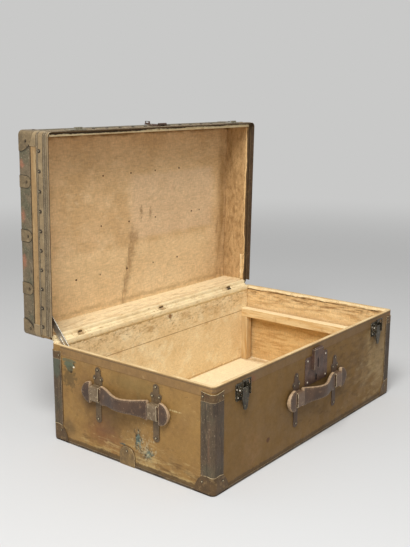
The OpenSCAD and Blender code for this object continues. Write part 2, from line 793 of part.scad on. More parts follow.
module front_hardware_nails() {
    nx = lock_w / 2 - lock_nail_in;
    ny = lock_h / 2 - lock_nail_up;
    catch_nails = [[catch_w / 2 - catch_nail_in, catch_nail_up],
        [catch_w / 2 - catch_low_nail_in, -catch_low_nail_down]];
    color("#a59a88") {
        for (sx = [-1, 1], sy = [-1, 1])
            on_front(sx * nx, lock_z + sy * ny, lock_t) nail(lock_nail_r, lock_nail_h);
        for (x = [-catch_x, catch_x], s = [-1, 1], at = catch_nails)
            on_front(x + s * at[0], catch_z + at[1], catch_plate_t)
                nail(small_nail_r, small_nail_h);
    }
}

// Draw catches: plate with two cheeks, a pinned lever, and a hook pinned to the lever
catch_z = base_h - catch_pin_drop;
module catch_plate() {
    top = catch_pin_drop - lip_h - lip_clear - 1;
    difference() {
        union() {
            translate([0, (top - catch_low) / 2, 0]) linear_extrude(catch_plate_t)
                rounded_rect(catch_w, top + catch_low, 5);
            for (side = [-1, 1])
                translate([side * (catch_half + cheek_t / 2) - cheek_t / 2, 0, 0]) {
                    translate([0, 0, catch_pin_out]) x_rod(0, cheek_t, 4);
                    slab(0, cheek_t, -14, top - 3, 1, catch_pin_out);
                    slab(0, cheek_t, -8, top - 5, 1, catch_pin_out + 3);
                }
        }
        translate([0, 0, catch_pin_out]) x_rod(-far, far, catch_pin_r + bore_gap);
    }
}
module catch_plates() {
    color("#4e4a44") for (x = [-catch_x, catch_x]) on_front(x, catch_z) catch_plate();
}
module catch_pins() {
    color("#8d8a82") for (x = [-catch_x, catch_x])
        on_front(x, catch_z, catch_pin_out)
            x_rod(-catch_half - cheek_t - 1, catch_half + cheek_t + 1, catch_pin_r);
}
// Lever outline: wide at the pin, tapering to a round tip
module lever_outline() {
    tip_r = lever_w / 4;
    translate([0, -lever_l + tip_r]) circle(tip_r);
    polygon([[-lever_w / 2, 2], [lever_w / 2, 2], [lever_w / 2, -hook_arm - 2], [tip_r, -lever_l + tip_r],
        [-tip_r, -lever_l + tip_r], [-lever_w / 2, -hook_arm - 2]]);
}
module lever() {
    plate_z = catch_pin_out + 1;
    difference() {
        union() {
            translate([0, 0, plate_z]) linear_extrude(lever_t) lever_outline();
            for (side = [-1, 1])
                translate([side * (lever_w / 2 - lever_side_t / 2) - lever_side_t / 2, 0, 0]) {
                    translate([0, 0, catch_pin_out]) x_rod(0, lever_side_t, 3.6);
                    slab(0, lever_side_t, -hook_arm - 3.2, 0, catch_pin_out - 3.4, plate_z + 0.5);
                }
        }
        translate([0, 0, catch_pin_out]) x_rod(-far, far, catch_pin_r + bore_gap);
        translate([0, -hook_arm, catch_pin_out - 0.5]) x_rod(-far, far, hook_pin_r + bore_gap);
    }
}
// The hook's arms run up outside the lever to a bar that draws the lid down
module hook() {
    base_out = catch_pin_out - 0.5;
    arm_x = lever_w / 2 + 0.3;
    for (side = [-1, 1]) {
        translate([side * (arm_x + hook_arm_t / 2) - hook_arm_t / 2, 0, 0]) {
            translate([0, -hook_arm, base_out]) x_rod(0, hook_arm_t, 2.6);
            slab(0, hook_arm_t, -hook_arm - 1, -hook_arm + 5, base_out, hook_bar_out + 1);
            slab(0, hook_arm_t, -hook_arm + 3, -hook_arm + hook_rise, hook_bar_out - hook_bar_r,
                hook_bar_out + 1);
        }
        translate([side * (arm_x - lever_side_t / 2) - 0.9, -hook_arm, base_out]) x_rod(0, 1.8, hook_pin_r);
    }
    translate([0, -hook_arm + hook_rise, hook_bar_out])
        x_rod(-arm_x - hook_arm_t, arm_x + hook_arm_t, hook_bar_r);
}
module left_catch_lever() { color("#57534c") on_front(-catch_x, catch_z) lever(); }
module right_catch_lever() { color("#57534c") on_front(catch_x, catch_z) lever(); }
module left_catch_hook() { color("#8d8a82") on_front(-catch_x, catch_z) hook(); }
module right_catch_hook() { color("#8d8a82") on_front(catch_x, catch_z) hook(); }

// Carrying handles, drawn with x along the strap, y up and z out from the wall
module each_handle() {
    on_left(0, end_handle_z) children();
    on_right(0, end_handle_z) children();
    on_front(0, front_handle_z) children();
}
module bracket() {
    half = loop_z_in / 2 + loop_t;
    linear_extrude(bracket_t) {
        translate([0, half + bracket_up]) circle(bracket_top_r);
        translate([-bracket_stem / 2, half]) square([bracket_stem, bracket_up]);
        for (s = [-1, 1]) translate([s * bracket_ear_x, half + bracket_ear_up]) circle(bracket_ear_r);
        translate([-bracket_w / 2, -half - 4]) square([bracket_w, 2 * half + 4 + bracket_ear_up]);
        translate([-bracket_stem / 2, -half - bracket_down]) square([bracket_stem, bracket_down]);
        translate([0, -half - bracket_down]) circle(bracket_foot_r);
    }
}
module handle_brackets() {
    color("#5d5245") each_handle() for (s = [-1, 1]) translate([s * loop_x, 0, 0]) bracket();
}
module u_section(h, depth, r) {
    translate([-h / 2 + r, 0]) square([h - 2 * r, depth]);
    translate([-h / 2, 0]) square([h, depth - r]);
    for (s = [-1, 1]) translate([s * (h / 2 - r), depth - r]) circle(r);
}
module handle_loop() {
    translate([-loop_w / 2, 0, 0]) rotate([90, 0, 90]) linear_extrude(loop_w) difference() {
        translate([0, bracket_t]) u_section(loop_z_in + 2 * loop_t, loop_in + loop_t - bracket_t, 4);
        translate([0, bracket_t - 1]) u_section(loop_z_in, loop_in - bracket_t + 1, loop_in_r);
    }
}
module handle_loops() {
    color("#7d6c58") each_handle() for (s = [-1, 1]) translate([s * loop_x, 0, 0]) handle_loop();
}
module handle_nails() {
    half = loop_z_in / 2 + loop_t;
    color("#8b7a5e") each_handle() for (s = [-1, 1]) translate([s * loop_x, 0, bracket_t]) {
        translate([0, half + bracket_up + 2, 0]) nail();
        for (t = [-1, 1]) translate([t * bracket_ear_x, half + bracket_ear_up - 1, 0]) nail();
        translate([0, -half - bracket_down, 0]) nail();
    }
}
// The strap bows out between the loops along a raised cosine and lies flat through them
bow_x = strap_inner_x - 0.5;
bow_steps = 35;
shoulder_steps = 18;
function bow(x) = abs(x) < bow_x ? strap_bow * (1 + cos(180 * x / bow_x)) / 2 : 0;
function bow_slope(x) = abs(x) < bow_x ? -strap_bow * PI / bow_x * sin(180 * x / bow_x) / 2 : 0;
function half_t(x) = strap_t / 2 * sqrt(1 + pow(bow_slope(x), 2));
strap_end = strap_lobe_x + strap_lobe / 2 + 2;
module strap_side() {
    xs = concat([-strap_end], [for (i = [-bow_steps:2:bow_steps]) i * bow_x / bow_steps], [strap_end]);
    last = len(xs) - 1;
    polygon(concat([for (x = xs) [x, strap_mid + bow(x) + half_t(x)]],
        [for (i = [0:last]) [xs[last - i], strap_mid + bow(xs[last - i]) - half_t(xs[last - i])]]));
}
// Half outline from the middle of the top edge round the right lobe to the middle of the bottom edge
function waist_point(i) = [i * strap_inner_x / shoulder_steps,
    (strap_waist + (strap_shoulder - strap_waist) * pow(i / shoulder_steps, 2)) / 2];
module strap_front() {
    upper = concat([for (i = [0:shoulder_steps]) waist_point(i)],
        [[strap_inner_x, strap_neck / 2], [strap_lobe_x, strap_neck / 2]],
        [for (a = [90:-10:10]) [strap_lobe_x + strap_lobe / 2 * cos(a), strap_lobe / 2 * sin(a)]]);
    last = len(upper) - 1;
    right = concat(upper, [[strap_lobe_x + strap_lobe / 2, 0]],
        [for (i = [0:last]) [upper[last - i][0], -upper[last - i][1]]]);
    polygon(concat(right, [for (i = [1:len(right) - 2]) [-right[i][0], -right[i][1]]]));
}
module strap() {
    intersection() {
        linear_extrude(strap_end) strap_front();
        rotate([90, 0, 0]) linear_extrude(strap_lobe + 2, center = true) strap_side();
    }
}
module left_end_strap() { color("#6b5648") on_left(0, end_handle_z) strap(); }
module front_strap() { color("#6b5648") on_front(0, front_handle_z) strap(); }
module right_end_strap() { color("#6b5648") on_right(0, end_handle_z) strap(); }

base_bottom_panel();
base_bottom_board();
base_front_board();
base_rear_board();
base_left_board();
base_right_board();
base_canvas();
base_lining();
rim_band();
bottom_binding();
base_corner_strips();
base_top_caps();
base_bottom_caps();
base_edge_clips();
base_trim_nails();
left_tray_frame();
right_tray_frame();
lid_top_board();
lid_front_board();
lid_rear_board();
lid_left_board();
lid_right_board();
lid_canvas();
lid_lining();
lid_valance();
valance_nails();
lid_edge_binding();
lid_corner_strips();
lid_corner_caps();
lid_edge_clips();
lid_trim_nails();
strike_plates();
hasp_plate();
lid_hardware_nails();
hasp_tongue();
hasp_pin();
hinge_base_leaves();
hinge_lid_leaves();
hinge_pins();
stay_bar();
stay_base_stud();
stay_lid_stud();
lock_plate();
lock_housing();
lock_bolt();
front_hardware_nails();
catch_plates();
catch_pins();
left_catch_lever();
left_catch_hook();
right_catch_lever();
right_catch_hook();
handle_brackets();
handle_loops();
handle_nails();
left_end_strap();
front_strap();
right_end_strap();
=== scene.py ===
import bpy
import bmesh
import json
import math
import random
from mathutils import Matrix, Vector


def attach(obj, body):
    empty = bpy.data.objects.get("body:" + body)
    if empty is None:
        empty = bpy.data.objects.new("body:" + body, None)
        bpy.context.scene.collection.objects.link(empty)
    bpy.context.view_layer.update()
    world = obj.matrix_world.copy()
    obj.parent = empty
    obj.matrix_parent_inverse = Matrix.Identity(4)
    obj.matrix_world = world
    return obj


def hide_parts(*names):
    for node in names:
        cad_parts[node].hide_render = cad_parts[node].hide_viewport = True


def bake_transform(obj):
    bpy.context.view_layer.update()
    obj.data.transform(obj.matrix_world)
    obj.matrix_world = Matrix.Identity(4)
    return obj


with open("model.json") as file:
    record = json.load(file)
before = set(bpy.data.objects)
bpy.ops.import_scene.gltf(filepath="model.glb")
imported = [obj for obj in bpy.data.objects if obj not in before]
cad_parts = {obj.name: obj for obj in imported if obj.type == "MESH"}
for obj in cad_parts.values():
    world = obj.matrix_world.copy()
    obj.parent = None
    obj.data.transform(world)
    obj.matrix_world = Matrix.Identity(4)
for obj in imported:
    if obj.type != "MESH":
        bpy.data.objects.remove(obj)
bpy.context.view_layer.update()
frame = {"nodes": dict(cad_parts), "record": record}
record = frame["record"]
bodyOf = {node: body for body, group in record["behaviour"]["bodies"].items() for node in group}
mm = 0.001
print("frame loaded:", len(bodyOf), "nodes")


# Camera, floor and light
view = {
    "place": (-1.56735, -1.15198, 0.78294), "lens": 54.35, "sensorWidth": 36,
    "right": (0.621873, -0.783114, 0.002591),
    "down": (-0.165790, -0.134887, -0.976893),
    "ahead": (0.765368, 0.607073, -0.213715),
}
camera = bpy.data.objects.new("viewCamera", bpy.data.cameras.new("viewCamera"))
camera.data.lens = view["lens"]
camera.data.sensor_width = view["sensorWidth"]
axes = [Vector(view["right"]), -Vector(view["down"]), -Vector(view["ahead"])]
turn = Matrix(axes).transposed().to_4x4()
camera.matrix_world = Matrix.Translation(view["place"]) @ turn
bpy.context.scene.collection.objects.link(camera)
bpy.context.scene.camera = camera
bpy.context.scene.view_settings.view_transform = "Standard"

studio = {
    "worldStrength": 0.40, "worldColour": "#ffffff", "backgroundGrey": "#c9c9c8",
    "keyPlace": (-2.3, -1.15, 3.3), "keySize": 1.7, "keyPower": 168,
    "fillPlace": (-2.6, -2.4, 1.3), "fillSize": 2.4, "fillPower": 12, "aim": (0, 0, 0.3),
    "floorGrey": "#cfcfce", "floorRoughness": 0.85, "floorRadius": 30.0, "floorSides": 96,
    "fadeStart": 1.6, "fadeEnd": 4.5,
}


def linear(code):
    parts = [int(code[i:i + 2], 16) / 255 for i in (1, 3, 5)]
    return [c / 12.92 if c <= 0.04045 else ((c + 0.055) / 1.055) ** 2.4 for c in parts] + [1]


def feed(tree, source, socket):  # source: a constant, a socket, or a node for its first output
    if isinstance(source, bpy.types.Node):
        source = source.outputs[0]
    if isinstance(source, bpy.types.NodeSocket):
        tree.links.new(source, socket)
    else:
        socket.default_value = source


def addNode(tree, kind, settings=None):
    node = tree.nodes.new(kind)
    for key, value in (settings or {}).items():
        if isinstance(key, str) and hasattr(node, key):
            setattr(node, key, value)
        else:
            feed(tree, value, node.inputs[key])
    return node


def newMaterial(name):
    material = bpy.data.materials.new(name)
    material.use_nodes = True
    return material, material.node_tree, material.node_tree.nodes["Principled BSDF"]


def addLamp(name):
    lamp = bpy.data.objects.new(name + "Light", bpy.data.lights.new(name + "Light", "AREA"))
    lamp.data.size = studio[name + "Size"]
    lamp.data.energy = studio[name + "Power"]
    lamp.location = studio[name + "Place"]
    aim = Vector(studio["aim"]) - Vector(studio[name + "Place"])
    lamp.rotation_euler = aim.to_track_quat("-Z", "Y").to_euler()
    bpy.context.scene.collection.objects.link(lamp)


def seenRays(tree):  # 1 for what the camera sees, also in a reflection or through glass
    rays = addNode(tree, "ShaderNodeLightPath").outputs
    first = addNode(tree, "ShaderNodeMath", {
        "operation": "MAXIMUM", 0: rays["Is Camera Ray"], 1: rays["Is Glossy Ray"]})
    return addNode(tree, "ShaderNodeMath", {
        "operation": "MAXIMUM", 0: first, 1: rays["Is Transmission Ray"]})


def makeWorld():
    world = bpy.data.worlds.new("studioWorld")
    bpy.context.scene.world = world
    world.use_nodes = True
    tree = world.node_tree
    tree.nodes.clear()
    seen = addNode(tree, "ShaderNodeBackground", {
        "Color": linear(studio["backgroundGrey"]), "Strength": 1.0})
    lit = addNode(tree, "ShaderNodeBackground", {
        "Color": linear(studio["worldColour"]), "Strength": studio["worldStrength"]})
    both = addNode(tree, "ShaderNodeMixShader", {0: seenRays(tree), 1: lit, 2: seen})
    addNode(tree, "ShaderNodeOutputWorld", {"Surface": both})


def makeFloor():  # matt paint that fades to the background far away
    mesh = bpy.data.meshes.new("studioFloor")
    sides, radius = studio["floorSides"], studio["floorRadius"]
    ring = [(radius * math.cos(a * math.tau / sides), radius * math.sin(a * math.tau / sides), 0)
            for a in range(sides)]
    mesh.from_pydata(ring, [], [list(range(sides))])
    floor = bpy.data.objects.new("studioFloor", mesh)
    bpy.context.scene.collection.objects.link(floor)
    paint, tree, shader = newMaterial("matPalePaint")
    shader.inputs["Base Color"].default_value = linear(studio["floorGrey"])
    shader.inputs["Roughness"].default_value = studio["floorRoughness"]
    place = addNode(tree, "ShaderNodeTexCoord").outputs["Object"]
    reach = addNode(tree, "ShaderNodeVectorMath", {"operation": "LENGTH", 0: place})
    fade = addNode(tree, "ShaderNodeMapRange", {
        "interpolation_type": "SMOOTHSTEP", "Value": reach.outputs["Value"],
        "From Min": studio["fadeStart"], "From Max": studio["fadeEnd"]})
    fadeSeen = addNode(tree, "ShaderNodeMath", {"operation": "MULTIPLY", 0: fade, 1: seenRays(tree)})
    plain = addNode(tree, "ShaderNodeEmission", {
        "Color": linear(studio["backgroundGrey"]), "Strength": 1.0})
    both = addNode(tree, "ShaderNodeMixShader", {0: fadeSeen, 1: shader, 2: plain})
    feed(tree, both, tree.nodes["Material Output"].inputs["Surface"])
    mesh.materials.append(paint)


addLamp("key")
addLamp("fill")
makeWorld()
makeFloor()
print("camera, floor and light made")


# Finishes. Sizes and places are in millimetres, read from Object coordinates.
# stains: colour, patch size, noise level where it starts and is full, strength, stretch
# marks: colour, centre, radii, raggedness, strength, "round", "square", "softRound" or "softSquare",
# size and stretch of its raggedness. Raggedness over 2 breaks a mark up into flakes.
# onLid: the marks' places are those of the shut lid.
# grains: size, share by which it lightens and darkens, stretch
# reliefs: size, height, stretch. weave: thread spacing, height, coarser than the real thread so that it shows
hinge = {"pinY": 237.0, "pinZ": 229.0, "openAngle": math.radians(88.7)}
pattern = {  # noise of each kind of layer. A step shifts it, so that no two layers look alike.
    "stainDetail": 5.0, "stainRough": 0.6, "stainStep": (3.7, 1.9, 5.3),
    "markDetail": 4.0, "markRough": 0.65, "markStep": (2.3, 4.1, 1.7), "markSize": (3, 60),
    "softCore": 0.2, "firmCore": 0.82, "coreShift": 0.7,
    "grainDetail": 3.0, "grainStep": (3.1, 1, 0), "grainLevels": (0.3, 0.7),
    "glossDetail": 4.0, "glossSize": 30, "glossLevels": (0.35, 0.65),
}


def patches(tree, place, size, detail, stretch=(1, 1, 1), shift=(0, 0, 0), rough=0.5):  # size in mm
    moved = addNode(tree, "ShaderNodeMapping", {
        "Vector": place, "Location": shift, "Scale": [s * 1000 / size for s in stretch]})
    return addNode(tree, "ShaderNodeTexNoise", {
        "Vector": moved, "Scale": 1.0, "Detail": detail, "Roughness": rough})


def addStain(tree, place, below, stain, seed):
    colour, size, start, full, strength, *stretch = stain
    shift = [seed * step for step in pattern["stainStep"]]
    noise = patches(tree, place, size, pattern["stainDetail"], *stretch, shift=shift,
                    rough=pattern["stainRough"])
    mask = addNode(tree, "ShaderNodeMapRange", {
        "Value": noise, "From Min": start, "From Max": full, "To Max": strength})
    return addNode(tree, "ShaderNodeMix", {
        "data_type": "RGBA", 0: mask, 6: below, 7: linear(colour)}).outputs[2]


def addMark(tree, place, below, mark, seed):
    colour, centre, radii, ragged, strength, *more = mark
    finest, coarsest = pattern["markSize"]
    usual = ["round", max(finest, min(*radii, coarsest)), (1, 1, 1)]
    shape, size, stretch = more + usual[len(more):]
    moved = addNode(tree, "ShaderNodeMapping", {
        "Vector": place, "Location": [-c / r for c, r in zip(centre, radii)],
        "Scale": [1000 / r for r in radii]})
    if shape in ("square", "softSquare"):
        whole = addNode(tree, "ShaderNodeVectorMath", {"operation": "ABSOLUTE", 0: moved})
        split = addNode(tree, "ShaderNodeSeparateXYZ", {0: whole}).outputs
        first = addNode(tree, "ShaderNodeMath", {"operation": "MAXIMUM", 0: split[0], 1: split[1]})
        away = addNode(tree, "ShaderNodeMath", {"operation": "MAXIMUM", 0: first, 1: split[2]})
    else:
        away = addNode(tree, "ShaderNodeVectorMath", {"operation": "LENGTH", 0: moved}).outputs["Value"]
    shift = [seed * step for step in pattern["markStep"]]
    grain = patches(tree, place, size, pattern["markDetail"], stretch, shift, pattern["markRough"])
    uneven = addNode(tree, "ShaderNodeMath", {
        "operation": "MULTIPLY_ADD", 0: grain, 1: 2 * ragged, 2: away})
    core = pattern["softCore" if shape.startswith("soft") else "firmCore"]
    mask = addNode(tree, "ShaderNodeMapRange", {
        "interpolation_type": "SMOOTHSTEP", "Value": uneven, "From Min": 1 + ragged,
        "From Max": core + ragged * pattern["coreShift"], "To Max": strength})
    return addNode(tree, "ShaderNodeMix", {
        "data_type": "RGBA", 0: mask, 6: below, 7: linear(colour)}).outputs[2]


def addGrain(tree, place, below, grain, index):
    size, share, *stretch = grain
    shift = [index * step for step in pattern["grainStep"]]
    noise = patches(tree, place, size, pattern["grainDetail"], *stretch, shift=shift)
    low, high = pattern["grainLevels"]
    shade = addNode(tree, "ShaderNodeMapRange", {
        "Value": noise, "From Min": low, "From Max": high, "To Min": 1 - share, "To Max": 1 + share})
    return addNode(tree, "ShaderNodeMix", {
        "data_type": "RGBA", "blend_type": "MULTIPLY", 0: 1.0, 6: below, 7: shade}).outputs[2]


def addBump(tree, height, source, below):  # below: the shader's normal so far, or None
    settings = {"Strength": 1.0, "Distance": height * mm, "Height": source}
    if below:
        settings["Normal"] = below
    return addNode(tree, "ShaderNodeBump", settings)


def makeFinish(name, look):
    material, tree, shader = newMaterial(name)
    for label, key, usual in (("Metallic", "metallic", 0.0), ("Specular IOR Level", "specular", 0.5),
                              ("IOR", "ior", 1.5)):
        shader.inputs[label].default_value = look.get(key, usual)
    place = addNode(tree, "ShaderNodeTexCoord").outputs["Object"]
    if look.get("onLid"):
        pin = Vector((0, hinge["pinY"], hinge["pinZ"])) * mm
        swing = Matrix.Rotation(hinge["openAngle"], 3, "X")
        place = addNode(tree, "ShaderNodeMapping", {
            "Vector": place, "Location": pin - swing @ pin, "Rotation": (hinge["openAngle"], 0, 0)})
    colour = linear(look["colour"])
    for i, stain in enumerate(look.get("stains", [])):
        colour = addStain(tree, place, colour, stain, i + 1)
    for i, mark in enumerate(look.get("marks", [])):
        colour = addMark(tree, place, colour, mark, i + 1)
    for i, grain in enumerate(look.get("grains", [])):
        colour = addGrain(tree, place, colour, grain, i)
    feed(tree, colour, shader.inputs["Base Color"])
    patch = patches(tree, place, pattern["glossSize"], pattern["glossDetail"])
    low, high = pattern["glossLevels"]
    smooth, rough = look["roughness"]
    gloss = addNode(tree, "ShaderNodeMapRange", {
        "Value": patch, "From Min": low, "From Max": high, "To Min": smooth, "To Max": rough})
    feed(tree, gloss, shader.inputs["Roughness"])
    normal = None
    if "weave" in look:
        pitch, height = look["weave"]
        moved = addNode(tree, "ShaderNodeMapping", {
            "Vector": place, "Scale": [math.tau * 1000 / pitch] * 3})
        wave = addNode(tree, "ShaderNodeVectorMath", {"operation": "SINE", 0: moved})
        total = addNode(tree, "ShaderNodeVectorMath", {
            "operation": "DOT_PRODUCT", 0: wave, 1: (0.5, 0.5, 0.5)})
        normal = addBump(tree, height, total.outputs["Value"], None)
    for size, height, *stretch in look.get("reliefs", []):
        noise = patches(tree, place, size, pattern["grainDetail"], *stretch)
        normal = addBump(tree, height, noise, normal)
    if normal:
        feed(tree, normal, shader.inputs["Normal"])
    return material


